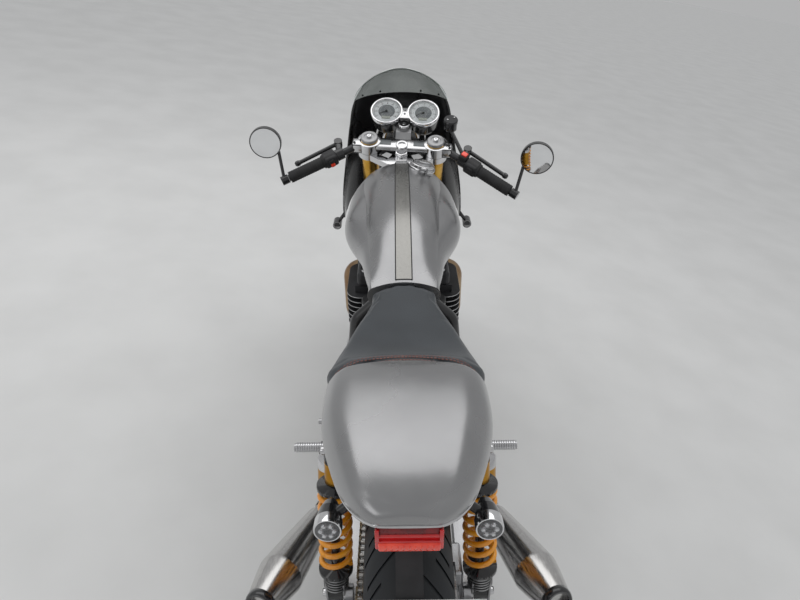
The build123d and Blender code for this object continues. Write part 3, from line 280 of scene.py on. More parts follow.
def discSteel():
    material, tree, shader = startMaterial("discSteel", (0.50, 0.50, 0.50), 1.0, 0.3)
    swirl = noise(tree, objectPlace(tree), 260, 3.0)
    clouded(tree, shader, swirl, ((0.38, 0.38, 0.385), (0.56, 0.56, 0.56)), (0.24, 0.38))
    return material


# Plain worn finishes, one row each: base colour, metallic and roughness, dark and light colour,
# scale of the cloud, range of roughness, grain (pattern, its numbers, strength, depth), other sockets

wornFinishes = {
    # brown metal for the header pipes: the brown is a painted reflection of the ground in the steel
    "headerSteelBrownReflection": ((0.42, 0.30, 0.18), 1.0, 0.3, ((0.30, 0.19, 0.11), (0.52, 0.40, 0.26)),
        9, (0.24, 0.38), (noise, (300, 2.0), 0.06, 0.0005), {}),
    "blackEnamel": ((0.02, 0.02, 0.021), 0.0, 0.35, ((0.012, 0.012, 0.013), (0.028, 0.028, 0.03)),
        14, (0.30, 0.42), (noise, (900, 2.0), 0.05, 0.0004), {"Coat Weight": 0.3, "Coat Roughness": 0.25}),
    "glossBlack": ((0.012, 0.012, 0.013), 0.0, 0.18, ((0.008, 0.008, 0.009), (0.018, 0.018, 0.019)),
        20, (0.14, 0.22), None, {"Coat Weight": 0.6, "Coat Roughness": 0.08}),
    "blackPlastic": ((0.018, 0.018, 0.019), 0.0, 0.55, ((0.013, 0.013, 0.014), (0.028, 0.028, 0.03)),
        25, (0.48, 0.62), (cells, (1600,), 0.12, 0.0004), {}),
    "enginePaint": ((0.022, 0.022, 0.024), 0.2, 0.45, ((0.014, 0.014, 0.015), (0.034, 0.034, 0.037)),
        18, (0.38, 0.52), (noise, (1200, 2.0), 0.1, 0.0005), {}),
    "castAlloy": ((0.40, 0.40, 0.41), 1.0, 0.45, ((0.32, 0.32, 0.325), (0.46, 0.46, 0.465)),
        15, (0.36, 0.52), (noise, (700, 3.0), 0.12, 0.0006), {}),
    "polishedAlloy": ((0.68, 0.68, 0.69), 1.0, 0.16, ((0.60, 0.60, 0.61), (0.76, 0.76, 0.77)),
        12, (0.10, 0.22), (noise, (400, 3.0), 0.03, 0.0005), {}),
    "chromePlate": ((0.78, 0.78, 0.79), 1.0, 0.07, ((0.72, 0.72, 0.73), (0.82, 0.82, 0.83)),
        30, (0.05, 0.10), None, {}),
    "goldAnodised": ((0.72, 0.42, 0.08), 1.0, 0.3, ((0.62, 0.34, 0.05), (0.80, 0.50, 0.12)),
        16, (0.24, 0.36), (noise, (1500, 2.0), 0.05, 0.0003), {}),
    "reservoirGold": ((0.50, 0.25, 0.03), 1.0, 0.24, ((0.42, 0.20, 0.02), (0.58, 0.30, 0.045)),
        14, (0.20, 0.30), (noise, (1500, 2.0), 0.04, 0.0003), {}),
    "yellowCoat": ((0.82, 0.32, 0.015), 0.0, 0.28, ((0.74, 0.26, 0.010), (0.88, 0.37, 0.02)),
        22, (0.22, 0.34), (noise, (500, 2.0), 0.04, 0.0004), {"Coat Weight": 0.5, "Coat Roughness": 0.12}),
    "tyreRubber": ((0.02, 0.02, 0.021), 0.0, 0.6, ((0.009, 0.011, 0.013), (0.020, 0.023, 0.027)),
        12, (0.42, 0.62), (noise, (500, 4.0, 0.6), 0.18, 0.0008), {}),
    "gripRubber": ((0.016, 0.016, 0.017), 0.0, 0.7, ((0.012, 0.012, 0.012), (0.026, 0.026, 0.027)),
        40, (0.6, 0.8), (cells, (900,), 0.2, 0.0006), {}),
    "stitchBrown": ((0.26, 0.10, 0.075), 0.0, 0.6, ((0.17, 0.065, 0.055), (0.28, 0.125, 0.10)),
        120, (0.5, 0.7), (noise, (3000, 2.0), 0.2, 0.0003), {}),
    "redLens": ((0.62, 0.01, 0.012), 0.0, 0.12, ((0.50, 0.006, 0.008), (0.72, 0.02, 0.02)),
        30, (0.08, 0.16), None, {"Coat Weight": 0.8, "Coat Roughness": 0.05, "Subsurface Weight": 0.15,
                                 "Subsurface Radius": (0.01, 0.002, 0.001)}),
    # pale and opaque: a painted highlight where light catches the screen's edge
    "screenEdgeHighlight": ((0.66, 0.70, 0.68), 0.0, 0.12, ((0.58, 0.62, 0.60), (0.74, 0.77, 0.76)),
        60, (0.08, 0.16), None, {}),
    # dark red standing in for the shade in the tail light's recess: painted shade
    "recessShadeRed": ((0.16, 0.004, 0.006), 0.0, 0.3, ((0.10, 0.003, 0.004), (0.22, 0.006, 0.008)),
        60, (0.24, 0.36), None, {}),
    "brightLens": ((0.85, 0.045, 0.02), 0.0, 0.14, ((0.75, 0.03, 0.012), (0.92, 0.07, 0.03)),
        40, (0.10, 0.18), None, {"Coat Weight": 0.8, "Coat Roughness": 0.05}),
    "signalGlass": ((0.90, 0.91, 0.92), 0.0, 0.06, ((0.86, 0.87, 0.88), (0.94, 0.95, 0.96)),
        60, (0.04, 0.09), None, {"Transmission Weight": 0.9, "IOR": 1.2}),
    "smokedScreen": ((0.36, 0.38, 0.37), 0.0, 0.04, ((0.32, 0.34, 0.33), (0.41, 0.43, 0.42)),
        8, (0.02, 0.06), None, {"Transmission Weight": 0.95, "IOR": 1.12}),
    "chainSteel": ((0.30, 0.24, 0.16), 1.0, 0.4, ((0.14, 0.12, 0.10), (0.42, 0.34, 0.22)),
        60, (0.3, 0.55), None, {}),
    "plateWhite": ((0.80, 0.80, 0.79), 0.0, 0.35, ((0.72, 0.72, 0.71), (0.84, 0.84, 0.83)),
        12, (0.28, 0.42), None, {}),
    "dialWhite": ((0.86, 0.86, 0.85), 0.0, 0.45, ((0.58, 0.60, 0.61), (0.66, 0.68, 0.69)),
        40, (0.40, 0.52), (noise, (2400, 2.0), 0.03, 0.0002), {}),
    "dialGrey": ((0.22, 0.22, 0.23), 0.3, 0.4, ((0.10, 0.11, 0.115), (0.16, 0.17, 0.175)),
        60, (0.34, 0.46), None, {}),
    "displayGlass": ((0.30, 0.32, 0.28), 0.0, 0.2, ((0.26, 0.28, 0.25), (0.34, 0.36, 0.31)),
        80, (0.16, 0.26), None, {}),
    # black for the dial print, and as painted shade in the disc holes
    "markAndHoleShadeBlack": ((0.02, 0.02, 0.02), 0.0, 0.5, ((0.015, 0.015, 0.015), (0.03, 0.03, 0.03)),
        90, (0.45, 0.55), None, {}),
    "dialGlass": ((0.97, 0.98, 0.98), 0.0, 0.02, ((0.95, 0.96, 0.96), (0.99, 0.99, 0.99)),
        30, (0.01, 0.04), None, {"Transmission Weight": 1.0, "IOR": 1.08}),
    "mirrorSilver": ((0.86, 0.87, 0.88), 1.0, 0.02, ((0.83, 0.84, 0.85), (0.88, 0.89, 0.90)),
        12, (0.01, 0.04), None, {}),
}


def wornFinish(name, row):
    colour, metallic, roughness, colours, scale, roughnessRange, grain, sockets = row
    material, tree, shader = startMaterial(name, colour, metallic, roughness)
    place = worn(tree, shader, colours, scale, roughnessRange)
    if grain:
        pattern, numbers, strength, distance = grain
        bump(tree, shader, pattern(tree, place, *numbers), strength, distance)
    for socket, number in sockets.items():
        shader.inputs[socket].default_value = number
    return material


finishes = {name: wornFinish(name, row) for name, row in wornFinishes.items()}
for maker in (silverPaint, fairingPaint, brushedSteel, strapSteel, silencerSteel, brushedAlloy, seatLeather,
              discSteel):
    finishes[maker.__name__] = maker()

nodeFinishes = {
    "blackEnamel": "clip_ons fairing_stay main_frame rear_frame side_stand",
    "blackPlastic": "airbox plate_hanger rear_mudguard switch_units",
    "brushedAlloy": "engine_covers pedals rearsets swingarm",
    "brushedSteel": "collector_box",
    "castAlloy": "gauges throttle_bodies",
    "chainSteel": "drive_chain",
    "chromePlate": "fork_legs headlight",
    "discSteel": "front_discs rear_disc rear_sprocket",
    "enginePaint": "cam_cover crankcase cylinders",
    "fairingPaint": "fairing",
    "glossBlack": "front_calipers front_hub front_indicators levers mirrors radiator rear_hub "
                  "rear_indicators shock_bodies",
    "goldAnodised": "fork_tubes",
    "gripRubber": "brake_hoses grips",
    "headerSteelBrownReflection": "header_pipes",
    "plateWhite": "number_plate",
    "polishedAlloy": "filler_lid front_rim rear_rim triple_clamps",
    "redLens": "tail_light",
    "reservoirGold": "shock_reservoirs",
    "seatLeather": "seat_pad",
    "silencerSteel": "silencers",
    "silverPaint": "front_mudguard fuel_tank seat_cowl",
    "smokedScreen": "screen",
    "strapSteel": "tank_strap",
    "tyreRubber": "front_tyre rear_tyre",
    "yellowCoat": "shock_springs",
}


def dressNodes():
    for finish, names in nodeFinishes.items():
        for name in names.split():
            nodes[name].data.materials.clear()
            nodes[name].data.materials.append(finishes[finish])


dressNodes()
print("nodes dressed")


# Modelling steps that several pieces share

# points of a drawn line, and of a solid, that lie closer are merged
mergeReach = {"line": 0.00001, "solid": 0.00002}


def clearSelection():
    if bpy.context.object and bpy.context.object.mode != "OBJECT":
        bpy.ops.object.mode_set(mode="OBJECT")
    bpy.ops.object.select_all(action="DESELECT")


def pick(piece):
    clearSelection()
    piece.select_set(True)
    bpy.context.view_layer.objects.active = piece


def settle(piece, placement):
    # the place goes into the mesh, so the object stays at the origin
    piece.data.transform(placement @ piece.matrix_world)
    piece.matrix_world = Matrix.Identity(4)
    return piece


def aimed(start, direction):
    turn = Vector((0, 0, 1)).rotation_difference(Vector(direction).normalized())
    return Matrix.Translation(start) @ turn.to_matrix().to_4x4()


def openMesh(piece):
    # edit mode with the whole mesh selected
    pick(piece)
    bpy.ops.object.mode_set(mode="EDIT")
    bpy.ops.mesh.select_all(action="SELECT")


def faceOut():
    # turns the faces outwards and goes back to object mode
    bpy.ops.mesh.normals_make_consistent(inside=False)
    bpy.ops.object.mode_set(mode="OBJECT")


def modified(piece, kind, **values):
    pick(piece)
    modifier = piece.modifiers.new(kind, kind)
    for name, value in values.items():
        setattr(modifier, name, value)
    bpy.ops.object.modifier_apply(modifier=modifier.name)


def drawnPiece(profile, segments, fill):
    # a circle drawn out along Z from row to row of (distance, radius), left in edit mode
    clearSelection()
    start, radius = profile[0]
    bpy.ops.mesh.primitive_circle_add(vertices=segments, radius=radius, fill_type=fill,
                                      location=(0, 0, start))
    piece = settle(bpy.context.object, Matrix.Identity(4))
    openMesh(piece)
    for distance, nextRadius in profile[1:]:
        bpy.ops.mesh.extrude_region_move(TRANSFORM_OT_translate={"value": (0, 0, distance - start)})
        factor = nextRadius / radius
        bpy.ops.transform.resize(value=(factor, factor, 1), center_override=(0, 0, 0))
        start = distance
        radius = nextRadius
    bpy.ops.mesh.select_all(action="SELECT")
    return piece


def turnedPiece(profile, segments=48):
    # a solid, closed at the first and the last row
    piece = drawnPiece(profile, segments, "NGON")
    faceOut()
    return piece


def ringPiece(profile, segments=64):
    # an open ring, whose profile runs back to its first row
    piece = drawnPiece(profile + profile[:1], segments, "NOTHING")
    bpy.ops.mesh.remove_doubles(threshold=mergeReach["line"])
    faceOut()
    return piece


def boxPiece(size, centre=(0, 0, 0), rounding=0.0, steps=2):
    clearSelection()
    bpy.ops.mesh.primitive_cube_add(size=1, location=centre, scale=size)
    piece = settle(bpy.context.object, Matrix.Identity(4))
    if rounding:
        bevelPiece(piece, rounding, steps)
    return piece


def bevelPiece(piece, width, steps=2):
    modified(piece, "BEVEL", width=width, segments=steps, limit_method="ANGLE",
             angle_limit=math.radians(30))


def copied(piece, placement):
    twin = piece.copy()
    twin.data = piece.data.copy()
    bpy.context.scene.collection.objects.link(twin)
    twin.data.transform(placement)
    return twin


def joined(pieces):
    clearSelection()
    for piece in pieces:
        piece.select_set(True)
    bpy.context.view_layer.objects.active = pieces[0]
    if len(pieces) > 1:
        bpy.ops.object.join()
    return bpy.context.view_layer.objects.active


def solidCopy(name):
    # a merged copy of a CAD node, set back on the upright machine
    twin = bpy.data.objects.new(name + "Copy", nodes[name].data.copy())
    bpy.context.scene.collection.objects.link(twin)
    twin.data.transform(upright.inverted())
    openMesh(twin)
    bpy.ops.mesh.remove_doubles(threshold=mergeReach["solid"])
    bpy.ops.object.mode_set(mode="OBJECT")
    return twin


def sliced(piece, point, normal):
    # cuts off what lies on the side that the normal points to
    openMesh(piece)
    bpy.ops.mesh.bisect(plane_co=point, plane_no=normal, use_fill=True, clear_outer=True)
    bpy.ops.object.mode_set(mode="OBJECT")
    return piece


def sweptTube(points, radius):
    clearSelection()
    bpy.ops.curve.primitive_nurbs_path_add(location=(0, 0, 0))
    line = bpy.context.object
    line.data.splines.clear()
    spline = line.data.splines.new("NURBS")
    spline.points.add(len(points) - 1)
    for spot, place in zip(spline.points, points):
        spot.co = (*place, 1)
    spline.order_u = 3
    spline.use_endpoint_u = True
    spline.resolution_u = 8
    line.data.dimensions = "3D"
    line.data.bevel_depth = radius
    line.data.bevel_resolution = 3
    line.data.use_fill_caps = True
    pick(line)
    bpy.ops.object.convert(target="MESH")
    piece = bpy.context.object
    openMesh(piece)
    bpy.ops.mesh.remove_doubles(threshold=mergeReach["line"])
    faceOut()
    return piece


def mirroredCopy(piece):
    # the other side's piece, with its faces turned to point outwards again
    twin = copied(piece, Matrix.Scale(-1, 4, (1, 0, 0)))
    openMesh(twin)
    bpy.ops.mesh.flip_normals()
    bpy.ops.object.mode_set(mode="OBJECT")
    return twin


def bothSides(piece):
    return joined([piece, mirroredCopy(piece)])


def rodPiece(start, end, radius, segments=32, ends=0.0):
    reach = (Vector(end) - Vector(start)).length
    profile = [(0, radius), (reach, radius)]
    if ends:
        profile = [(0, radius - ends), (ends, radius), (reach - ends, radius), (reach, radius - ends)]
    return settle(turnedPiece(profile, segments), aimed(start, Vector(end) - Vector(start)))


def finishPiece(piece, name, body, finish, placement=None, angle=35):
    settle(piece, upright if placement is None else placement)
    piece.name = name
    piece.data.name = name
    piece.data.materials.clear()
    piece.data.materials.append(finishes[finish])
    pick(piece)
    bpy.ops.object.shade_smooth_by_angle(angle=math.radians(angle))
    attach(piece, body)
    return piece


# A cap screw, modelled once; its head stands on z = 0

boltSettings = {"radius": 0.005, "height": 0.005, "socket": 0.0026, "edge": (0.75, 0.86),
                "floor": (0.4, 0.9)}


def capScrew(scale=1.0):
    radius = boltSettings["radius"] * scale
    height = boltSettings["height"] * scale
    socket = boltSettings["socket"] * scale
    edgeHeight, edgeRadius = boltSettings["edge"]
    floorHeight, floorRadius = boltSettings["floor"]
    return turnedPiece([(0, radius), (height * edgeHeight, radius), (height, radius * edgeRadius),
                        (height, socket), (height * floorHeight, socket * floorRadius)], 20)


def screwSet(name, body, finish, places, placement=None, scale=1.0):
    # places are (point, direction) pairs
    model = capScrew(scale)
    heads = [copied(model, aimed(point, direction)) for point, direction in places]
    bpy.data.objects.remove(model)
    return finishPiece(joined(heads), name, body, finish, placement)


def circleSpots(x, y, z, radius, count, side, start=0.0):
    # places for a circle of screws in the YZ plane, that point to the side
    spots = []
    for index in range(count):
        angle = math.radians(start + 360 * index / count)
        spots.append(((x, y + radius * math.cos(angle), z + radius * math.sin(angle)), (side, 0, 0)))
    return spots


# Instruments: bezels, dials, marks, needles and glasses, in the fork's frame

gaugeSettings = {
    "can": [(-0.0060, 0.0470), (-0.0080, 0.0506), (-0.0425, 0.0468), (-0.0430, 0.0420)],
    "centreX": 0.058,
    "forward": 0.121,
    "height": 1.070,
    "tilt": 12,
    "bezel": [(-0.006, 0.0506), (0.002, 0.0510), (0.0062, 0.0500), (0.0072, 0.0476), (0.0060, 0.0452),
              (0.0012, 0.0436), (-0.006, 0.0436)],
    "dial": [(0.0003, 0.0434), (0.0010, 0.0430)],
    "hub": [(0.0010, 0.0262), (0.0018, 0.0256)],
    "glass": [(0.0042, 0.0440), (0.0050, 0.0360), (0.0054, 0.0180), (0.0055, 0.0060)],
    "window": ((0.026, 0.0105, 0.0010), (0, -0.0245, 0.0019)),
    "markCount": 41,
    "markSweep": 250,
    "longMark": (0.0058, 0.0011),
    "shortMark": (0.0034, 0.0006),
    "markThickness": 0.0005,
    "markReach": 0.0412,
    "markHeight": 0.0013,
    "numbers": 9,
    "numberReach": 0.0315,
    "numberSize": 0.0056,
    "needle": ((0.030, 0.0014, 0.0006), (0.011, 0, 0.0030)),
    "needleCap": [(0.0018, 0.0042), (0.0036, 0.0042), (0.0040, 0.0036)],
    "needleTurn": 118,
}


def gaugePlace(side):
    tilt = math.radians(gaugeSettings["tilt"])
    normal = Vector((0, -math.sin(tilt), math.cos(tilt)))
    across = Vector((1, 0, 0))
    up = normal.cross(across)
    axes = Matrix((across, up, normal)).transposed().to_4x4()
    centre = (side * gaugeSettings["centreX"], gaugeSettings["forward"], gaugeSettings["height"])
    return forkFrame @ Matrix.Translation(centre) @ axes


def dialMarks(step):
    # long marks at every fifth place, and plain numbers beside every tenth of the scale
    s = gaugeSettings
    marks = []
    first = math.radians(90 + s["markSweep"] / 2)
    turn = math.radians(s["markSweep"]) / (s["markCount"] - 1)
    for index in range(s["markCount"]):
        length, width = s["shortMark"] if index % 5 else s["longMark"]
        mark = boxPiece((length, width, s["markThickness"]),
                        (s["markReach"] - length / 2, 0, s["markHeight"]))
        marks.append(settle(mark, Matrix.Rotation(first - index * turn, 4, "Z")))
    for index in range(s["numbers"]):
        angle = first - index * 5 * turn
        clearSelection()
        bpy.ops.object.text_add(location=(0, 0, 0))
        text = bpy.context.object
        text.data.body = str(index * step)
        text.data.size = s["numberSize"]
        text.data.align_x = "CENTER"
        text.data.align_y = "CENTER"
        text.data.extrude = 0.0001
        pick(text)
        bpy.ops.object.convert(target="MESH")
        x, y = math.cos(angle) * s["numberReach"], math.sin(angle) * s["numberReach"]
        marks.append(settle(bpy.context.object, Matrix.Translation((x, y, s["markHeight"]))))
    return joined(marks)


def addGauge(side, name, step):
    s = gaugeSettings
    needle = settle(joined([boxPiece(*s["needle"], 0.0002), turnedPiece(s["needleCap"], 24)]),
                    Matrix.Rotation(math.radians(90 + s["needleTurn"]), 4, "Z"))
    for part, piece, finish, slot, angle in (
            ("Can", ringPiece(s["can"]), "glossBlack", "gloss_black", 50),
            ("Bezel", ringPiece(s["bezel"]), "chromePlate", "chrome", 50),
            ("Dial", turnedPiece(s["dial"]), "dialWhite", "plate_white", 35),
            ("Hub", turnedPiece(s["hub"]), "dialGrey", "black_plastic", 35),
            ("Window", boxPiece(*s["window"], 0.0004), "displayGlass", "black_plastic", 35),
            ("Marks", dialMarks(step), "markAndHoleShadeBlack", "black_plastic", 35),
            ("Needle", needle, "markAndHoleShadeBlack", "black_plastic", 35),
            ("Glass", turnedPiece(s["glass"]), "dialGlass", "clear_lens", 35)):
        finishPiece(piece, name + part, "steering", finish, gaugePlace(side), angle)


addGauge(-1, "speedGauge", 20)
addGauge(1, "revGauge", 1)
print("gauges made")


# Fork tops: caps, adjusters and the nut on the stem

forkTopSettings = {
    "forkX": 0.104,
    "forkForward": 0.03145,
    "capHeight": 1.0382,
    "cap": [(-0.0060, 0.0270), (0.0012, 0.0270), (0.0030, 0.0250), (0.0034, 0.0160), (0.0016, 0.0150)],
    "adjuster": [(0.0014, 0.0085), (0.0070, 0.0085), (0.0082, 0.0070), (0.0082, 0.0030), (0.0064, 0.0026)],
    "stemHeight": 1.0072,
    "stemNut": [(0.0, 0.0210), (0.0085, 0.0210), (0.0102, 0.0190), (0.0104, 0.0130), (0.0074, 0.0120)],
}


def addForkTops():
    caps, adjusters = [], []
    for side in (-1, 1):
        place = (side * forkTopSettings["forkX"], forkTopSettings["forkForward"],
                 forkTopSettings["capHeight"])
        for profile, segments, group in (("cap", 24, caps), ("adjuster", 6, adjusters)):
            group.append(settle(turnedPiece(forkTopSettings[profile], segments), Matrix.Translation(place)))
    finishPiece(joined(caps), "forkCaps", "steering", "castAlloy", forkFrame, 30)
    finishPiece(joined(adjusters), "forkAdjusters", "steering", "polishedAlloy",
                forkFrame, 20)
    nut = settle(turnedPiece(forkTopSettings["stemNut"], 6),
                 Matrix.Translation((0, 0, forkTopSettings["stemHeight"])))
    bevelPiece(nut, 0.0012)
    finishPiece(nut, "stemNut", "steering", "chromePlate", forkFrame, 30)


addForkTops()
print("fork tops made")


# Mirrors: glass and rim on the round heads

mirrorSettings = {
    "centre": (0.405, -0.066, 1.075),
    "normal": (-0.10, -0.86, 0.30),
    "rim": [(-0.0125, 0.0479), (0.0008, 0.0479), (0.0020, 0.0472), (0.0020, 0.0452), (0.0006, 0.0446),
            (-0.0125, 0.0446)],
    "glass": [(0.0002, 0.0450), (0.0010, 0.0444), (0.0013, 0.0300), (0.0014, 0.0100)],
}


def addMirror(side, name):
    centre = Vector(mirrorSettings["centre"])
    normal = Vector(mirrorSettings["normal"])
    centre.x *= side
    normal.x *= side
    place = forkFrame @ aimed(centre, normal)
    finishPiece(ringPiece(mirrorSettings["rim"]), name + "Rim", "steering", "glossBlack",
                place, 50)
    finishPiece(turnedPiece(mirrorSettings["glass"], 64), name + "Glass", "steering", "mirrorSilver",
                place)


addMirror(-1, "leftMirror")
addMirror(1, "rightMirror")
print("mirrors made")


# Cockpit: silver clamps, switch housings, grip ribs, lock, bridge and the lid of the brake reservoir

barSettings = {
    "root": (0.140, 0.018, 1.013),
    "way": (0.8515, -0.4908, -0.1846),
    "sleeve": [(0.9976, 0.0274), (0.9976, 0.0366), (1.0285, 0.0366), (1.0297, 0.0350), (1.0297, 0.0274)],
    "boss": ((0.0350, 0.0336, 0.0325), (0.1385, 0.018, 1.0136)),
    "yoke": ((0.212, 0.046, 0.0150), (0, 0.0265, 1.0185)),
    "yokePad": ((0.046, 0.022, 0.0030), (0.058, 0.0270, 1.0262)),
    "yokeNut": [(0, 0.0190), (0.0050, 0.0190), (0.0066, 0.0172), (0.0066, 0.0120), (0.0030, 0.0112)],
    "yokeNutPlace": (0, 0.014, 1.0260),
    "clampBolts": [(0.1300, 0.0260, 1.0298), (0.1480, 0.0110, 1.0298)],
    "housing": ((0.042, 0.0385, 0.0425), 0.096),
    "rocker": (0.018, 0.012, 0.006),
    "starter": ((0.014, 0.012, 0.006), (0, -0.008, 0.0225)),
    "podAt": 0.060,
    "pod": ((0.028, 0.040, 0.030), (0, 0.0085, 0)),
    "stopButton": ((0.018, 0.006, 0.016), (0, 0.0300, 0.001)),
    "ribs": (0.122, 0.0076, 15),
    "rib": [(-0.0018, 0.0166), (-0.0012, 0.0181), (0.0012, 0.0181), (0.0018, 0.0166)],
    "lockPlace": (0, 0.086, 1.0495),
    "lockCollar": [(0, 0.0150), (0, 0.0188), (0.0042, 0.0188), (0.0056, 0.0172), (0.0056, 0.0150)],
    "lockFace": [(0, 0.0150), (0.0036, 0.0150), (0.0046, 0.0136), (0.0040, 0.0100)],
    "lockSlot": ((0.0026, 0.0110, 0.0008), (0, 0, 0.0046)),
    "lockRing": [(0.0038, 0.0062), (0.0044, 0.0060), (0.0045, 0.0050)],
    "bridge": ((0.030, 0.050, 0.0050), (0, 0.119, 1.0680)),
    "bridgeLamps": (0.131, 0.113),
    "bridgeLamp": [(0, 0.0034), (0.0012, 0.0032), (0.0020, 0.0020)],
    "lidPlace": (0.146, 0.088, 1.040),
    "lid": [(0.0378, 0.0205), (0.0395, 0.0200), (0.0405, 0.0150)],
    "lidScrew": (0.010, 0.006),
}


def barPlace(distance):
    # the right bar: X runs along it, Y up and Z towards the rider
    along = Vector(barSettings["way"]).normalized()
    rear = along.cross(Vector((0, 0, 1))).normalized()
    above = rear.cross(along)
    turn = Matrix((along, above, rear)).transposed().to_4x4()
    return Matrix.Translation(Vector(barSettings["root"]) + along * distance) @ turn


def addClamps():
    s = barSettings
    sleeve = settle(ringPiece(s["sleeve"], 56),
                    Matrix.Translation((forkTopSettings["forkX"], forkTopSettings["forkForward"], 0)))
    clamp = joined([sleeve, boxPiece(*s["boss"], 0.006, 3)])
    nut = settle(turnedPiece(s["yokeNut"], 48), Matrix.Translation(s["yokeNutPlace"]))
    yoke = joined([boxPiece(*s["yoke"], 0.0045, 3), nut])
    finishPiece(yoke, "upperBridge", "steering", "polishedAlloy", forkFrame, 40)
    finishPiece(bothSides(boxPiece(*s["yokePad"], 0.0012)), "bridgePads", "steering", "dialGrey",
                forkFrame, 40)
    finishPiece(bothSides(clamp), "barClamps", "steering", "polishedAlloy", forkFrame, 40)
    places = [((side * x, y, z), (0, 0, 1)) for side in (-1, 1) for x, y, z in s["clampBolts"]]
    screwSet("clampBolts", "steering", "glossBlack", places, forkFrame, 0.8)


def addSwitches():
    s = barSettings
    size, distance = s["housing"]
    housing = settle(boxPiece(size, (0, 0, 0), 0.0070, 3), barPlace(distance))
    rocker = settle(boxPiece(s["rocker"], (0.002, 0.006, size[2] / 2), 0.0016), barPlace(distance))
    finishPiece(bothSides(joined([housing, rocker])), "switchHousings", "steering", "blackPlastic",
                forkFrame, 40)
    pod = boxPiece(*s["pod"], 0.006, 3)
    stopButton = boxPiece(*s["stopButton"], 0.0018)
    for piece in (pod, stopButton):
        settle(piece, barPlace(s["podAt"]))
    finishPiece(pod, "stopSwitch", "steering", "blackPlastic", forkFrame, 40)
    starter = settle(boxPiece(*s["starter"], 0.0018), barPlace(distance))
    horn = mirroredCopy(starter)
    bpy.data.objects.remove(starter)
    finishPiece(joined([stopButton, horn]), "switchButtons", "steering", "brightLens",
                forkFrame, 40)
    start, pitch, count = s["ribs"]
    ribs = []
    for index in range(count):
        ribs.append(settle(ringPiece(s["rib"], 32),
                           aimed(barPlace(start + index * pitch).translation, s["way"])))
    finishPiece(bothSides(joined(ribs)), "gripRibs", "steering", "gripRubber", forkFrame,
                50)


def addDashTrim():
    s = barSettings
    place = Matrix.Translation(s["lockPlace"])
    collar = settle(ringPiece(s["lockCollar"], 56), place)
    dish = boxPiece(*s["bridge"], 0.0018)
    finishPiece(joined([collar, dish]), "dashBridge", "steering", "polishedAlloy",
                forkFrame, 40)
    face = settle(turnedPiece(s["lockFace"], 48), place)
    finishPiece(face, "lockFace", "steering", "glossBlack", forkFrame, 40)
    slot = settle(joined([boxPiece(*s["lockSlot"], 0.0003), turnedPiece(s["lockRing"], 32)]), place)
    finishPiece(slot, "lockSlot", "steering", "polishedAlloy", forkFrame, 40)
    lamps = []
    for forward in s["bridgeLamps"]:
        lamps.append(settle(turnedPiece(s["bridgeLamp"], 24),
                            Matrix.Translation((0, forward, s["bridge"][1][2] + s["bridge"][0][2] / 2))))
    finishPiece(joined(lamps), "dashLamps", "steering", "dialGrey", forkFrame, 40)
    lid = settle(turnedPiece(s["lid"], 48), Matrix.Translation(s["lidPlace"]))
    finishPiece(lid, "reservoirLid", "steering", "blackPlastic", forkFrame, 40)
    x, y, z = s["lidPlace"]
    along, ahead = s["lidScrew"]
    places = [((x + side * along, y + side * ahead, z + s["lid"][2][0]), (0, 0, 1)) for side in (-1, 1)]
    screwSet("lidScrews", "steering", "polishedAlloy", places, forkFrame, 0.5)


addClamps()
addSwitches()
addDashTrim()
print("cockpit made")


# Fairing: painted highlight along the screen's edge, rubber along the open edges, headlight rim and lens,
# front indicators

fairingSettings = {
    "screenEdge": [(0.1552, 1.042), (0.1393, 1.076), (0.1049, 1.108), (0.0577, 1.132), (0.0253, 1.141),
                   (0, 1.141)],
    "screenBead": 0.0019,
    "screenScrews": [(0.128, 1.050), (0.070, 1.050)],
    "screwSink": 0.0005,
    "screwAim": (2, 0.9, 0.35),   # the first is times the screw's own distance from the middle
    "openEdge": [(0.151, 1.330, 1.040), (0.169, 1.308, 0.980), (0.181, 1.300, 0.900), (0.189, 1.250, 0.845),
                 (0.199, 1.196, 0.760), (0.198, 1.185, 0.687)],
    "openBead": 0.0022,
    "lampPlace": (0, 1.484, 0.880),
    "lampRim": [(-0.010, 0.0800), (-0.010, 0.0872), (0.003, 0.0872), (0.0062, 0.0846), (0.0062, 0.0800)],
    "lampGlass": [(0.002, 0.0800), (0.006, 0.0780), (0.012, 0.0620), (0.0155, 0.0400), (0.0170, 0.0150)],
    "signalPlace": (0.226, 1.2005, 0.650),
    "signalBack": [(0, 0.0140), (0.0016, 0.0134), (0.0018, 0.0110), (0.0006, 0.0100)],
    "signalFront": [(0, 0.0148), (0.0030, 0.0140), (0.0055, 0.0100), (0.0065, 0.0040)],
    "signalLength": 0.0355,
}


def nearestPoint(piece, x, z):
    return min((vertex.co for vertex in piece.data.vertices),
               key=lambda co: (co.x - x) ** 2 + (co.z - z) ** 2).copy()


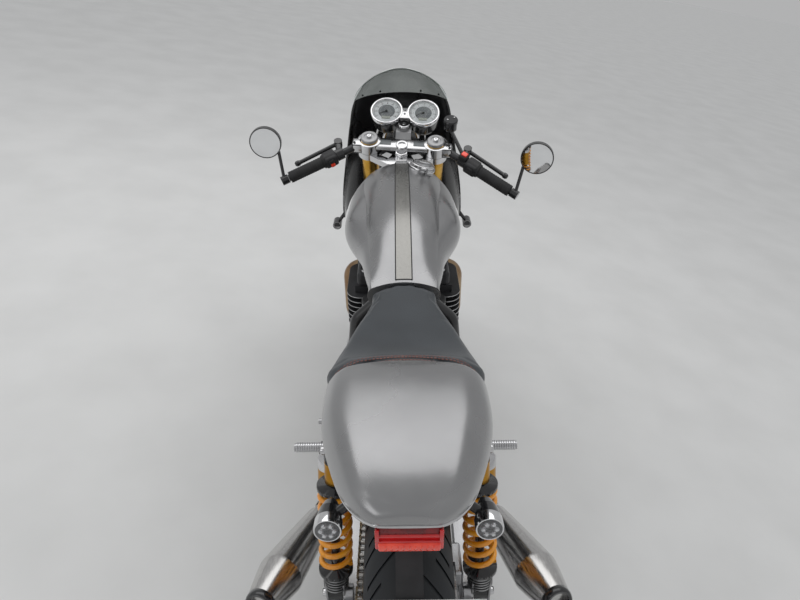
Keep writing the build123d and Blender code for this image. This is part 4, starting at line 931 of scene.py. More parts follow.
def addFairingTrim():
    s = fairingSettings
    screen = solidCopy("screen")
    half = [nearestPoint(screen, x, z) for x, z in s["screenEdge"]]
    other = [Vector((-point.x, point.y, point.z)) for point in reversed(half[:-1])]
    # the bead along the screen's edge carries a painted highlight
    finishPiece(sweptTube(half + other, s["screenBead"]), "screenEdge", "chassis", "screenEdgeHighlight")
    places = []
    for x, z in s["screenScrews"]:
        point = nearestPoint(screen, x, z)
        for side in (-1, 1):
            aim = Vector(s["screwAim"]) * Vector((side * point.x, 1, 1))
            places.append(((side * point.x, point.y - s["screwSink"], point.z), aim))
    screwSet("screenScrews", "chassis", "glossBlack", places, None, 0.7)
    bpy.data.objects.remove(screen)
    edge = sweptTube([Vector(point) for point in s["openEdge"]], s["openBead"])
    finishPiece(bothSides(edge), "fairingEdges", "chassis", "gripRubber")
    ahead = aimed(s["lampPlace"], (0, 1, 0))
    rim = settle(ringPiece(s["lampRim"], 96), ahead)
    finishPiece(rim, "headlightRim", "chassis", "chromePlate", None, 40)
    glass = settle(turnedPiece(s["lampGlass"], 80), ahead)
    finishPiece(glass, "headlightGlass", "chassis", "signalGlass", None, 60)
    x, y, z = s["signalPlace"]
    backs = settle(turnedPiece(s["signalBack"], 32), aimed((x, y, z), (0, -1, 0)))
    finishPiece(bothSides(backs), "frontSignalBacks", "chassis", "castAlloy", None, 40)
    fronts = settle(turnedPiece(s["signalFront"], 32), aimed((x, y + s["signalLength"], z), (0, 1, 0)))
    finishPiece(bothSides(fronts), "frontSignalGlasses", "chassis", "signalGlass", None, 60)


addFairingTrim()
print("fairing trimmed")


# Leather seat: the pad is blown up as cloth and lies flat where it meets the tank and the cowl

seatSettings = {
    "voxel": 0.005,
    "inset": 0.0035,
    "pressure": 4.0,
    "frames": 20,
    "cap": 0.008,   # how far a point may swell
    "rear": 0.1475,   # the seam with the cowl
    "front": 0.4958,
    "floor": 0.7664,
    "flare": 0.017,
    "flareRear": (0.158, 0.215),
    "flareFront": (0.360, 0.490),
    "flareReach": 0.060,
    "noseStart": 0.370,
    "noseRise": 0.016,
    "noseFull": 0.030,   # how far above the floor the rise is whole
    "noseWiden": 0.14,
    "seamBend": 1.2,   # the seam's sides lie this times the half width squared further back
    "noseRound": 2.0,   # how much of its corners' square the nose draws back
    "grooveAt": 0.1585,
    "grooveHalf": 0.005,
    "grooveDepth": 0.0016,
    "grooveLow": 0.008,   # how far above the floor the groove ends
    "stitchRows": (0.1500, 0.1550, 0.1620, 0.1690),
    "stitchPitch": 0.0062,
    "stitchSize": (0.0046, 0.0021, 0.0015),
    "stitchProud": 0.0002,
    "rayCentre": 0.790,
    "rayReach": 0.4,
    "raySweep": (-8, 196, 360),   # first angle, whole turn, steps
    "pipingRadius": 0.0014,
    "pipingPitch": 0.012,
    "pipingProud": 0.0008,
}


def swellPad(pad):
    pick(pad)
    cloth = pad.modifiers.new("swell", "CLOTH")
    cloth.settings.quality = 5
    cloth.settings.mass = 0.3
    cloth.settings.tension_stiffness = 20
    cloth.settings.compression_stiffness = 20
    cloth.settings.bending_stiffness = 2
    cloth.settings.use_pressure = True
    cloth.settings.uniform_pressure_force = seatSettings["pressure"]
    cloth.settings.effector_weights.gravity = 0
    cloth.point_cache.frame_start = 1
    cloth.point_cache.frame_end = seatSettings["frames"]
    for frameNumber in range(1, seatSettings["frames"] + 1):
        bpy.context.scene.frame_set(frameNumber)
    bpy.ops.object.modifier_apply(modifier=cloth.name)
    bpy.context.scene.frame_set(1)


def restPad(pad, starts):
    # no point moves further than the cap, or past what the pad lies against
    for vertex, start in zip(pad.data.vertices, starts):
        move = vertex.co - start
        if move.length > seatSettings["cap"]:
            move *= seatSettings["cap"] / move.length
        place = start + move
        place.y = min(max(place.y, seatSettings["rear"]), seatSettings["front"])
        place.z = max(place.z, seatSettings["floor"])
        vertex.co = place


def grooveSeat(pad):
    for vertex in pad.data.vertices:
        reach = abs(vertex.co.y - seatSettings["grooveAt"]) / seatSettings["grooveHalf"]
        if reach < 1 and vertex.co.z > seatSettings["floor"] + seatSettings["grooveLow"]:
            vertex.co -= vertex.normal * seatSettings["grooveDepth"] * (1 + math.cos(math.pi * reach)) / 2


def seatLine(pad, forward, pitch):
    # points over the pad from side to side, all the same distance forward, with their normals
    found = []
    first, turn, steps = seatSettings["raySweep"]
    for step in range(steps + 1):
        angle = math.radians(first + turn * step / steps)
        way = Vector((math.cos(angle), 0, math.sin(angle)))
        centre = Vector((0, forward, seatSettings["rayCentre"]))
        hit, place, normal = pad.ray_cast(centre + way * seatSettings["rayReach"], -way)[:3]
        if not hit:
            continue
        if not found or (place - found[-1][0]).length >= pitch:
            found.append((place.copy(), normal.copy()))
    return found


def smoothStep(value, start, end):
    share = min(max((value - start) / (end - start), 0), 1)
    return share * share * (3 - 2 * share)


def shapeNose(pad):
    # wider over the frame's rails, higher and rounder where it meets the tank
    for vertex in pad.data.vertices:
        wide = seatSettings["flare"] * smoothStep(vertex.co.y, *seatSettings["flareRear"])
        wide *= 1 - smoothStep(vertex.co.y, *seatSettings["flareFront"])
        vertex.co.x += wide * min(max(vertex.co.x / seatSettings["flareReach"], -1), 1)
    reach = seatSettings["front"] - seatSettings["noseStart"]
    for vertex in pad.data.vertices:
        share = min(max((vertex.co.y - seatSettings["noseStart"]) / reach, 0), 1)
        lift = min(max((vertex.co.z - seatSettings["floor"]) / seatSettings["noseFull"], 0), 1)
        vertex.co.z += seatSettings["noseRise"] * share ** 2 * lift
        vertex.co.x *= 1 + seatSettings["noseWiden"] * share
        vertex.co.y -= seatSettings["noseRound"] * share * vertex.co.x ** 2


def bend(piece, side):
    # bends the piece in plan so that the seam is flat, or back again
    for vertex in piece.data.vertices:
        vertex.co.y += side * seatSettings["seamBend"] * vertex.co.x ** 2
    return piece


def addSeat():
    hump = sliced(bend(solidCopy("seat_cowl"), 1), (0, seatSettings["rear"], 0), (0, -1, 0))
    pad = joined([bend(solidCopy("seat_pad"), 1), hump])
    modified(pad, "REMESH", mode="VOXEL", voxel_size=seatSettings["voxel"])
    shapeNose(pad)
    openMesh(pad)
    bpy.ops.transform.shrink_fatten(value=-seatSettings["inset"])
    bpy.ops.object.mode_set(mode="OBJECT")
    starts = [vertex.co.copy() for vertex in pad.data.vertices]
    swellPad(pad)
    restPad(pad, starts)
    modified(pad, "SUBSURF", levels=1, render_levels=1)
    grooveSeat(pad)
    pad.data.update()
    stitches = []
    model = boxPiece(seatSettings["stitchSize"], (0, 0, 0), 0.0003, 1)
    for forward in seatSettings["stitchRows"][1:]:
        line = seatLine(pad, forward, seatSettings["stitchPitch"])
        for (place, normal), nextPoint in zip(line, line[1:]):
            following = nextPoint[0]
            along = (following - place).normalized()
            side = normal.cross(along).normalized()
            axes = Matrix((along, side, normal)).transposed().to_4x4()
            middle = (place + following) / 2 + normal * seatSettings["stitchProud"]
            stitches.append(copied(model, Matrix.Translation(middle) @ axes))
    bpy.data.objects.remove(model)
    seam = seatLine(pad, seatSettings["stitchRows"][0], seatSettings["pipingPitch"])
    piping = [place + normal * seatSettings["pipingProud"] for place, normal in seam]
    welt = sweptTube(piping, seatSettings["pipingRadius"])
    stitches = joined(stitches)
    for piece in (pad, stitches, welt):
        bend(piece, -1)
    finishPiece(pad, "seatLeather", "chassis", "seatLeather", None, 60)
    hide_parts("seat_pad")
    finishPiece(stitches, "seatStitches", "chassis", "stitchBrown")
    finishPiece(welt, "seatPiping", "chassis", "stitchBrown")


addSeat()
print("seat made")


# Cowl: cut at the seat's seam, its tail drawn up over the lamp, with a bead along its lower edge

cowlSettings = {
    "seam": 0.1462,
    "liftStart": -0.095,
    "liftEnd": -0.177,
    "lift": 0.0120,
    "liftTop": 0.852,
    "liftFade": 0.036,
    "edge": [(0.1395, 0.135, 0.7738), (0.1403, 0.060, 0.7778), (0.1343, 0.006, 0.7810),
             (0.1242, -0.040, 0.7858), (0.0990, -0.110, 0.7940), (0.0735, -0.152, 0.8018),
             (0.0520, -0.1715, 0.8085), (0.0400, -0.1762, 0.8112)],
    "bead": 0.0026,
    "voxel": 0.0028,
    "smoothing": 36,
}


def lifted(place):
    share = (cowlSettings["liftStart"] - place.y) / (cowlSettings["liftStart"] - cowlSettings["liftEnd"])
    share = min(max(share, 0), 1)
    fade = min(max((cowlSettings["liftTop"] - place.z) / cowlSettings["liftFade"], 0), 1)
    return Vector((place.x, place.y,
                   place.z + cowlSettings["lift"] * share * share * (3 - 2 * share) * fade))


def addCowl():
    cowl = bend(sliced(bend(solidCopy("seat_cowl"), 1), (0, cowlSettings["seam"], 0), (0, 1, 0)), -1)
    modified(cowl, "REMESH", voxel_size=cowlSettings["voxel"])
    modified(cowl, "SMOOTH", factor=0.5, iterations=cowlSettings["smoothing"])
    for vertex in cowl.data.vertices:
        vertex.co = lifted(vertex.co)
    finishPiece(cowl, "cowlShell", "chassis", "silverPaint", None, 40)
    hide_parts("seat_cowl")
    right = [lifted(Vector(place)) for place in cowlSettings["edge"]]
    left = [Vector((-place.x, place.y, place.z)) for place in reversed(right)]
    finishPiece(sweptTube(right + left, cowlSettings["bead"]), "cowlBead", "chassis", "polishedAlloy")


addCowl()


# Tank strap: dark edges and the latch at its front end

strapSettings = {
    "half": 0.0205,
    "edgeWidth": 0.0021,
    "proud": 0.0004,
    "latchPlate": (0.033, 0.026, 0.0035),
    "latchAt": (0, 1.040, 0.9268),
    "latchTilt": -10,
    "barrel": ((-0.0150, 0.0150, 0.0024), (0.0150, 0.0150, 0.0024), 0.0042),
    "ribs": 4,
    "ribSize": (0.026, 0.0018, 0.0022),
    "ribStart": -0.009,
    "ribPitch": 0.0048,
    "screw": ((0, 1.0585, 0.9215), (0, 0.2, 1)),
}


def addStrapTrim():
    edge = solidCopy("tank_strap")
    sliced(edge, (strapSettings["half"] - strapSettings["edgeWidth"], 0, 0), (-1, 0, 0))
    openMesh(edge)
    bpy.ops.mesh.normals_make_consistent(inside=False)
    bpy.ops.transform.shrink_fatten(value=strapSettings["proud"])
    bpy.ops.object.mode_set(mode="OBJECT")
    finishPiece(bothSides(edge), "strapEdges", "chassis", "gripRubber")


def addStrapLatch():
    plate = boxPiece(strapSettings["latchPlate"], (0, 0, 0), 0.0012)
    barrel = rodPiece(*strapSettings["barrel"], 24, 0.0008)
    size = strapSettings["ribSize"]
    ribs = []
    for index in range(strapSettings["ribs"]):
        y = strapSettings["ribStart"] + strapSettings["ribPitch"] * index
        ribs.append(boxPiece(size, (0, y, size[2]), 0.0006))
    latch = joined([plate, barrel] + ribs)
    tilt = Matrix.Rotation(math.radians(strapSettings["latchTilt"]), 4, "X")
    settle(latch, Matrix.Translation(strapSettings["latchAt"]) @ tilt)
    finishPiece(latch, "strapLatch", "chassis", "polishedAlloy")
    screwSet("strapScrew", "chassis", "brushedAlloy", [strapSettings["screw"]], None, 0.9)


addStrapTrim()
addStrapLatch()
print("tank strap trimmed")


# Filler: collar on the tank, plate and lever on the lid

fillerSettings = {
    "place": (0.062, 1.012, 0.925),
    "tilt": 14,
    "collar": [(-0.0080, 0.0392), (-0.0020, 0.0392), (-0.0006, 0.0380), (-0.0006, 0.0362),
               (-0.0080, 0.0362)],
    "plate": [(0.0078, 0.0290), (0.0094, 0.0282), (0.0104, 0.0240), (0.0104, 0.0120), (0.0092, 0.0100)],
    "lever": ((0.034, 0.0105, 0.0036), (0.004, 0.0, 0.0122)),
    "screwCircle": 0.0305,
    "screwHeight": 0.0078,
    "screws": 6,
}


def addFiller():
    place = upright @ Matrix.Translation(fillerSettings["place"])
    place = place @ Matrix.Rotation(math.radians(fillerSettings["tilt"]), 4, "Y")
    finishPiece(ringPiece(fillerSettings["collar"]), "fillerCollar", "chassis", "polishedAlloy",
                place, 50)
    finishPiece(turnedPiece(fillerSettings["plate"], 8), "lidPlate", "lid", "brushedAlloy",
                place, 20)
    lever = boxPiece(*fillerSettings["lever"], 0.0012)
    finishPiece(lever, "lidLever", "lid", "chromePlate", place)
    turn = 2 * math.pi / fillerSettings["screws"]
    circle = fillerSettings["screwCircle"]
    spots = []
    for index in range(fillerSettings["screws"]):
        angle = turn * (index + 0.5)
        spot = (math.cos(angle) * circle, math.sin(angle) * circle, fillerSettings["screwHeight"])
        spots.append((spot, (0, 0, 1)))
    screwSet("lidScrews", "lid", "brushedSteel", spots, place, 0.36)


addFiller()
print("filler made")


# Tail light: frame and ribbed lens on the rear face of the lamp's box, with a dark red box as painted shade
# in its upper recess

tailLampSettings = {
    "face": -0.1762,
    "halfWidth": 0.0485,
    "low": 0.7735,
    "middle": 0.7935,
    "high": 0.8175,
    "frameDepth": 0.0036,
    "sillHeight": 0.0040,
    "postWidth": 0.0062,
    # the box of painted shade in the lamp's upper recess
    "recessShade": ((0.093, 0.014, 0.0150), (0, -0.1682, 0.8105)),
    "lensDepth": 0.0062,
    "lensIn": 0.004,   # from the lamp's side to the lens
    "ribs": 9,
    "ribsIn": 0.010,
    "ribOut": 0.0034,
    "ribEnds": (0.0045, 0.005),
}


def addTailLamp():
    s = tailLampSettings
    depth = s["frameDepth"]
    face = s["face"] - depth / 2
    height = s["high"] - s["middle"]
    post = s["postWidth"]
    bars = [boxPiece((2 * s["halfWidth"], depth, s["sillHeight"]), (0, face, s["middle"]), 0.0012)]
    for side in (-1, 1):
        place = (side * (s["halfWidth"] - post / 2), face, (s["high"] + s["middle"]) / 2)
        bars.append(boxPiece((post, depth, height), place, 0.0014))
    finishPiece(joined(bars), "tailFrame", "chassis", "redLens")
    # a dark red box in the frame's upper part: painted shade where the lamp's face is recessed
    finishPiece(boxPiece(*s["recessShade"], 0.002), "tailRecessShade", "chassis", "recessShadeRed")
    lens = boxPiece((2 * (s["halfWidth"] - s["lensIn"]), s["lensDepth"], s["middle"] - s["low"] - 0.003),
                    (0, s["face"] - s["lensDepth"] / 2 + 0.001, (s["middle"] + s["low"]) / 2 - 0.001),
                    0.0030, 3)
    finishPiece(lens, "tailLens", "chassis", "brightLens")
    pitch = 2 * (s["halfWidth"] - s["ribsIn"]) / s["ribs"]
    y = s["face"] - s["ribOut"]
    low, high = s["low"] + s["ribEnds"][0], s["middle"] - s["ribEnds"][1]
    ribs = []
    for index in range(s["ribs"]):
        x = (index - (s["ribs"] - 1) / 2) * pitch
        ribs.append(rodPiece((x, y, low), (x, y, high), pitch * 0.34, 16, 0.0008))
    finishPiece(joined(ribs), "tailRibs", "chassis", "brightLens", None, 60)


addTailLamp()


# Rear indicators: chrome sleeve and faceted lens at the back of each bullet

rearSignalSettings = {
    "nose": (0.128, -0.036, 0.713),
    "way": (0, -0.068, 0.008),
    "sleeve": [(0.0500, 0.0222), (0.0500, 0.0228), (0.0660, 0.0230), (0.0695, 0.0222), (0.0695, 0.0198),
               (0.0670, 0.0196), (0.0670, 0.0200), (0.0510, 0.0205)],
    "lens": [(0.0678, 0.0204), (0.0700, 0.0200), (0.0722, 0.0160), (0.0736, 0.0100), (0.0740, 0.0040)],
    "lamp": [(0.0680, 0.0052), (0.0712, 0.0044), (0.0722, 0.0022)],
    "lampRing": 0.0105,
    "lamps": 6,
}


def addRearSignals():
    s = rearSignalSettings
    for side, name in ((-1, "leftRearSignal"), (1, "rightRearSignal")):
        nose = Vector(s["nose"])
        nose.x *= side
        place = upright @ aimed(nose, s["way"])
        finishPiece(ringPiece(s["sleeve"], 48), name + "Sleeve", "chassis", "chromePlate", place,
                    40)
        finishPiece(turnedPiece(s["lens"], 48), name + "Lens", "chassis", "signalGlass",
                    place, 40)
        lamps = []
        for index in range(s["lamps"]):
            angle = 2 * math.pi * index / s["lamps"]
            lamp = turnedPiece(s["lamp"], 16)
            settle(lamp, Matrix.Translation((math.cos(angle) * s["lampRing"],
                                             math.sin(angle) * s["lampRing"], 0)))
            lamps.append(lamp)
        finishPiece(joined(lamps), name + "Lamps", "chassis", "chromePlate", place, 60)


addRearSignals()
print("tail lamps made")


# Shocks: silver caps and black knobs on the gold reservoirs, clevises at the lower eyes

shockSettings = {
    "low": (0.150, 0.031, 0.347),
    "high": (0.137, 0.098, 0.690),
    "reservoirDown": 0.078,   # from the upper eye down to its top, which lies aside of the shock
    "reservoirAside": (0.014, 0.062, 0),
    "reservoirLength": 0.112,
    "cap": [(-0.012, 0.0264), (0.004, 0.0266), (0.007, 0.0250), (0.008, 0.0200)],
    "foot": [(-0.004, 0.0250), (-0.002, 0.0266), (0.010, 0.0266), (0.010, 0.0262)],
    "knob": [(0.006, 0.0085), (0.010, 0.0105), (0.020, 0.0105), (0.022, 0.0090)],
    "ring": [(0, 0.0238), (0, 0.0262), (0.0028, 0.0262), (0.0028, 0.0238)],
    "ringStart": 0.024,
    "ringPitch": 0.0065,
    "rings": 5,
    "clevisSize": (0.0050, 0.034, 0.060),
    "clevisAcross": (0.1325, 0.1675),
    "clevisShift": (0.003, 0.012),
    "boltAcross": {"low": 0.170, "high": 0.1545},
    "coreRadius": 0.014,   # what lies further in isn't drawn in with the upper body
    "sleeveLength": 0.046,
    "upperEnd": 0.020,   # the upper body, measured down from the upper eye
    "upperStart": 0.070,
    "upperRadius": 0.026,
    "slimRadius": 0.0188,
}


def shockPoints(side):
    low = Vector(shockSettings["low"])
    high = Vector(shockSettings["high"])
    way = (high - low).normalized()
    top = high - way * shockSettings["reservoirDown"] + Vector(shockSettings["reservoirAside"])
    bottom = top - way * shockSettings["reservoirLength"]
    flip = Vector((side, 1, 1))
    return low * flip, high * flip, Vector((way.x * side, way.y, way.z)), bottom * flip, top * flip


def addShockBodies():
    # both bodies with a slimmer upper part in a gold sleeve
    s = shockSettings
    body = sliced(solidCopy("shock_bodies"), (0, 0, 0), (-1, 0, 0))
    high, way = shockPoints(1)[1:3]
    for vertex in body.data.vertices:
        out = vertex.co - high
        down = -out.dot(way)
        across = out + way * down
        near = s["upperEnd"] - 0.001 < down < s["upperStart"] + 0.001
        if near and s["coreRadius"] < across.length < s["upperRadius"] + 0.0005:
            vertex.co -= across * (1 - s["slimRadius"] / s["upperRadius"])
    frames = finishPiece(bothSides(body), "shockFrames", "chassis", "glossBlack")
    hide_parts("shock_bodies")
    sleeves = []
    radius = s["slimRadius"] + 0.0006
    for side in (-1, 1):
        high, way = shockPoints(side)[1:3]
        sleeve = turnedPiece([(0, radius - 0.001), (0.001, radius), (s["sleeveLength"] - 0.002, radius),
                              (s["sleeveLength"], radius - 0.002)], 40)
        settle(sleeve, aimed(high - way * (s["upperStart"] - 0.001), way))
        sleeves.append(sleeve)
    finishPiece(joined(sleeves), "shockSleeves", "chassis", "reservoirGold")


def addShockTrim():
    caps, knobs, feet, clevises, bolts, rings = [], [], [], [], [], []
    for side in (-1, 1):
        low, high, way, bottom, top = shockPoints(side)
        for profile, start, group in (("cap", top, caps), ("knob", top, knobs), ("foot", bottom, feet)):
            group.append(settle(turnedPiece(shockSettings[profile], 40), aimed(start, way)))
        for index in range(shockSettings["rings"]):
            reach = shockSettings["ringStart"] + shockSettings["ringPitch"] * index
            rings.append(settle(ringPiece(shockSettings["ring"], 32), aimed(low + way * reach, way)))
        ahead, up = shockSettings["clevisShift"]
        for x in shockSettings["clevisAcross"]:
            clevises.append(boxPiece(shockSettings["clevisSize"], (side * x, low.y + ahead, low.z + up),
                                     0.0020))
        for eye, point in (("low", low), ("high", high)):
            bolts.append(((side * shockSettings["boltAcross"][eye], point.y, point.z), (side, 0, 0)))
    finishPiece(joined(caps), "reservoirCaps", "chassis", "polishedAlloy")
    finishPiece(joined(feet), "reservoirFeet", "chassis", "reservoirGold")
    finishPiece(joined(knobs), "reservoirKnobs", "chassis", "glossBlack")
    finishPiece(joined(rings), "shockRings", "chassis", "castAlloy")
    finishPiece(joined(clevises), "shockClevises", "chassis", "castAlloy")
    screwSet("shockBolts", "chassis", "polishedAlloy", bolts, None, 1.7)


addShockBodies()
addShockTrim()
print("shocks trimmed")


# Tyres: round crown, shoulder and side wall, with slanted grooves cut in the tread

tyreSettings = {
    "segments": 288,
    "repeat": 12,   # segments between two grooves
    "slant": 0.30,   # turn of the grooves, radians from the centre to the shoulder
    "grooveDepth": 0.0038,
    "crownRows": 18,   # from the centre of the tread to its shoulder
    "wall": ((0.0012, 0.008), (0.0040, 0.020), (0.0085, 0.004)),   # inwards and down, from the shoulder on
    "lip": (0.0035, 0.006),   # out and up from the flange
    "beadEnd": 0.001,
    "rear": {"radius": 0.3106, "half": 0.0795, "crown": 0.0880, "bead": 0.0555, "beadRadius": 0.2160,
             "flange": 0.2300},
    "front": {"radius": 0.2988, "half": 0.0595, "crown": 0.0650, "bead": 0.0370, "beadRadius": 0.2160,
              "flange": 0.2300},
    # first column, width in columns, start and end across the tread as shares of its half arc, side
    "grooves": [(0, 1, 0.10, 0.86, 1), (6, 1, 0.10, 0.86, -1), (4, 1, 0.52, 0.93, 1),
                (10, 1, 0.52, 0.93, -1)],
}


def tyreProfile(size):
    # rows of (across, distance from the axle, share of the half arc), from the left bead to the right one
    crown = size["crown"]
    shoulder = math.asin(size["half"] / crown)
    rows = []
    count = tyreSettings["crownRows"]
    for index in range(-count, count + 1):
        share = index / count
        angle = shoulder * share
        rows.append((crown * math.sin(angle), size["radius"] - crown + crown * math.cos(angle), share))
    edge, reach = rows[-1][:2]
    bead, flange = size["bead"], size["flange"]
    first, second, third = tyreSettings["wall"]
    lipOut, lipUp = tyreSettings["lip"]
    wall = [(edge - first[0], reach - first[1]), (edge - second[0], reach - second[1]),
            (edge - third[0], (reach + flange) / 2 - third[1]), (bead + lipOut, flange + lipUp),
            (bead, flange), (bead, size["beadRadius"] + tyreSettings["beadEnd"])]
    right = [(x, radius, 2) for x, radius in wall]
    left = [(-x, radius, -2) for x, radius in reversed(wall)]
    return left + rows + right


def grooveColumn(column, share):
    for first, width, low, high, side in tyreSettings["grooves"]:
        if first <= column % tyreSettings["repeat"] < first + width and low <= share * side <= high:
            return True
    return False


def tyrePiece(size):
    # spun about X as a grid whose lines lean with the grooves
    rows = tyreProfile(size)
    clearSelection()
    bpy.ops.mesh.primitive_grid_add(x_subdivisions=len(rows) - 1, y_subdivisions=tyreSettings["segments"],
                                    size=1)
    piece = bpy.context.object
    turn = 2 * math.pi / tyreSettings["segments"]
    for vertex in piece.data.vertices:
        across = round((vertex.co.x + 0.5) * (len(rows) - 1))
        around = round((vertex.co.y + 0.5) * tyreSettings["segments"])
        x, radius, share = rows[across]
        lean = tyreSettings["slant"] * min(abs(share), 1.0)
        angle = around * turn + lean
        vertex.co = (x, radius * math.cos(angle), radius * math.sin(angle))
    faceRows = len(rows) - 1
    chosen = []
    for polygon in piece.data.polygons:
        across = polygon.index % faceRows
        around = polygon.index // faceRows
        shares = (rows[across][2], rows[across + 1][2])
        chosen.append(max(abs(share) for share in shares) <= 1 and grooveColumn(around, sum(shares) / 2))
    pick(piece)
    bpy.ops.object.mode_set(mode="EDIT")
    bpy.ops.mesh.select_all(action="DESELECT")
    bpy.ops.object.mode_set(mode="OBJECT")
    for polygon, wanted in zip(piece.data.polygons, chosen):
        polygon.select = wanted
    bpy.ops.object.mode_set(mode="EDIT")
    bpy.ops.mesh.select_mode(type="FACE")
    bpy.ops.mesh.extrude_region_move(TRANSFORM_OT_translate={"value": (0, 0, 0)})
    bpy.ops.object.mode_set(mode="OBJECT")
    moved = {index for polygon in piece.data.polygons if polygon.select for index in polygon.vertices}
    for index in moved:
        co = piece.data.vertices[index].co
        reach = math.hypot(co.y, co.z)
        keep = (reach - tyreSettings["grooveDepth"]) / reach
        co.y *= keep
        co.z *= keep
    pick(piece)
    bpy.ops.object.mode_set(mode="EDIT")
    bpy.ops.mesh.select_mode(type="VERT")
    bpy.ops.mesh.select_all(action="SELECT")
    bpy.ops.mesh.remove_doubles(threshold=mergeReach["solid"])
    bpy.ops.mesh.select_all(action="DESELECT")
    bpy.ops.mesh.select_non_manifold()
    bpy.ops.mesh.bridge_edge_loops()
    bpy.ops.mesh.select_all(action="SELECT")
    bpy.ops.mesh.normals_make_consistent(inside=False)
    bpy.ops.object.mode_set(mode="OBJECT")
    return piece


def wheelPlacement(jointName):
    lateral = Vector(joints[jointName]["axis"]).normalized()
    above = Vector((0, 0, 1)) - lateral * lateral.z
    above.normalize()
    ahead = above.cross(lateral)
    axes = Matrix((lateral, ahead, above)).transposed().to_4x4()
    return Matrix.Translation(joints[jointName]["pos_m"]) @ axes


wheelPlaces = {"front": wheelPlacement("front_wheel_spin"), "rear": wheelPlacement("rear_wheel_spin")}


def addTyres():
    for end in ("front", "rear"):
        tyre = tyrePiece(tyreSettings[end])
        finishPiece(tyre, end + "Tyre", end + "_wheel", "tyreRubber", wheelPlaces[end], 30)
        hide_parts(end + "_tyre")


addTyres()
print("tyres made")


# Wheel trim: spoke nipples, black plugs as painted shade in the disc holes, bobbins, sprocket bolts, axle
# nuts

wheelSettings = {
    "spokes": 32,
    "flange": {"front": 0.040, "rear": 0.048},
    "flangeRadius": 0.043,
    "spokeIn": 0.003,   # from the flange to the spoke's root
    "sweep": 42,   # degrees from the spoke's tip to its root
    "tipAcross": 0.010,
    "tipRadius": 0.201,
    "nippleRadius": 0.0036,
    "nippleReach": (0.024, 0.0065),   # its ends, measured back from the spoke's tip
    "frontDisc": {"x": 0.066, "outer": 0.155, "inner": 0.119, "holes": 24, "bobbins": 10},
    "rearDisc": {"x": 0.092, "outer": 0.110, "inner": 0.074, "holes": 18, "bobbins": 6},
    "discHalf": 0.0025,
    "holeRadius": 0.0038,
    "holeRings": ((0.30, 0.0), (0.66, 0.5)),   # share of the disc's width, turn as a share of the pitch
    "holeProud": 0.0002,
    "bobbinRadius": 0.0075,
    "bobbinProud": 0.0012,
    "axleNut": [(0, 0.0190), (0.004, 0.0190), (0.004, 0.0160), (0.0125, 0.0160), (0.0140, 0.0140),
                (0.0140, 0.0095), (0.0100, 0.0090)],
    "axleNutAcross": 0.1408,
    "sprocketBolts": (-0.0985, 0, 0, 0.043, 6, -1),
}


def wheelSpot(across, radius, angle):
    return Vector((across, radius * math.sin(angle), radius * math.cos(angle)))


def addNipples():
    s = wheelSettings
    for end, flange in s["flange"].items():
        nipples = []
        for index in range(s["spokes"]):
            side = 1 if index % 2 else -1
            sweep = s["sweep"] if index % 4 < 2 else -s["sweep"]
            tip = index * 360 / s["spokes"]
            start = wheelSpot(side * (flange - s["spokeIn"]), s["flangeRadius"], math.radians(tip + sweep))
            finish = wheelSpot(side * s["tipAcross"], s["tipRadius"], math.radians(tip))
            way = (finish - start).normalized()
            reach = (finish - start).length
            low, high = (start + way * (reach - back) for back in s["nippleReach"])
            nipples.append(rodPiece(low, high, s["nippleRadius"], 8))
        finishPiece(joined(nipples), end + "Nipples", end + "_wheel", "chromePlate",
                    wheelPlaces[end])


def addDiscTrim():
    for end, key, sides in (("front", "frontDisc", (-1, 1)), ("rear", "rearDisc", (1,))):
        disc = wheelSettings[key]
        holes, bobbins = [], []
        for side in sides:
            for index in range(disc["holes"]):
                turn = 2 * math.pi * index / disc["holes"]
                for ring, shift in wheelSettings["holeRings"]:
                    radius = disc["inner"] + (disc["outer"] - disc["inner"]) * ring
                    angle = turn + shift * 2 * math.pi / disc["holes"]
                    spot = Vector((side * disc["x"], radius * math.cos(angle), radius * math.sin(angle)))
                    reach = Vector((wheelSettings["discHalf"] + wheelSettings["holeProud"], 0, 0))
                    holes.append(rodPiece(spot - reach, spot + reach, wheelSettings["holeRadius"], 12))
            reach = Vector((wheelSettings["discHalf"] + wheelSettings["bobbinProud"], 0, 0))
            for index in range(disc["bobbins"]):
                angle = 2 * math.pi * index / disc["bobbins"]
                spot = Vector((side * disc["x"], disc["inner"] * math.cos(angle),
                               disc["inner"] * math.sin(angle)))
                bobbins.append(rodPiece(spot - reach, spot + reach, wheelSettings["bobbinRadius"], 20,
                                        0.0008))
        # black plugs in the drilled discs: painted shade where the holes would show through
        finishPiece(joined(holes), end + "DiscHoleShades", end + "_wheel", "markAndHoleShadeBlack",
                    wheelPlaces[end])
        finishPiece(joined(bobbins), end + "DiscBobbins", end + "_wheel", "castAlloy",
                    wheelPlaces[end])


def addAxleNuts():
    nuts = []
    for side in (-1, 1):
        nuts.append(settle(turnedPiece(wheelSettings["axleNut"], 6),
                           aimed((side * wheelSettings["axleNutAcross"], 0, 0), (side, 0, 0))))
    axle = upright @ Matrix.Translation((0, 0, machine["rearTyreRadius"]))
    finishPiece(joined(nuts), "rearAxleNuts", "chassis", "polishedAlloy", axle, 25)
    bolts = circleSpots(*wheelSettings["sprocketBolts"])
    screwSet("sprocketBolts", "rear_wheel", "polishedAlloy", bolts, wheelPlaces["rear"],
             1.2)


addNipples()
addDiscTrim()
addAxleNuts()
print("wheels trimmed")


# Drive chain: inner and outer links with rollers, on the CAD chain's pitch line

chainSettings = {
    "x": -0.095,
    "pitch": 0.015875,
    "rearTeeth": 42,
    "frontTeeth": 17,
    "gearbox": (0.610, 0.345),
    "plateThickness": 0.0018,
    "plateHeight": 0.0148,
    "outerHalf": 0.0086,
    "innerHalf": 0.0062,
    "waist": 0.62,
    "roller": (0.0045, 0.0050, 10),   # half length, radius, segments
    "pin": (0.0092, 0.0026, 8),
}


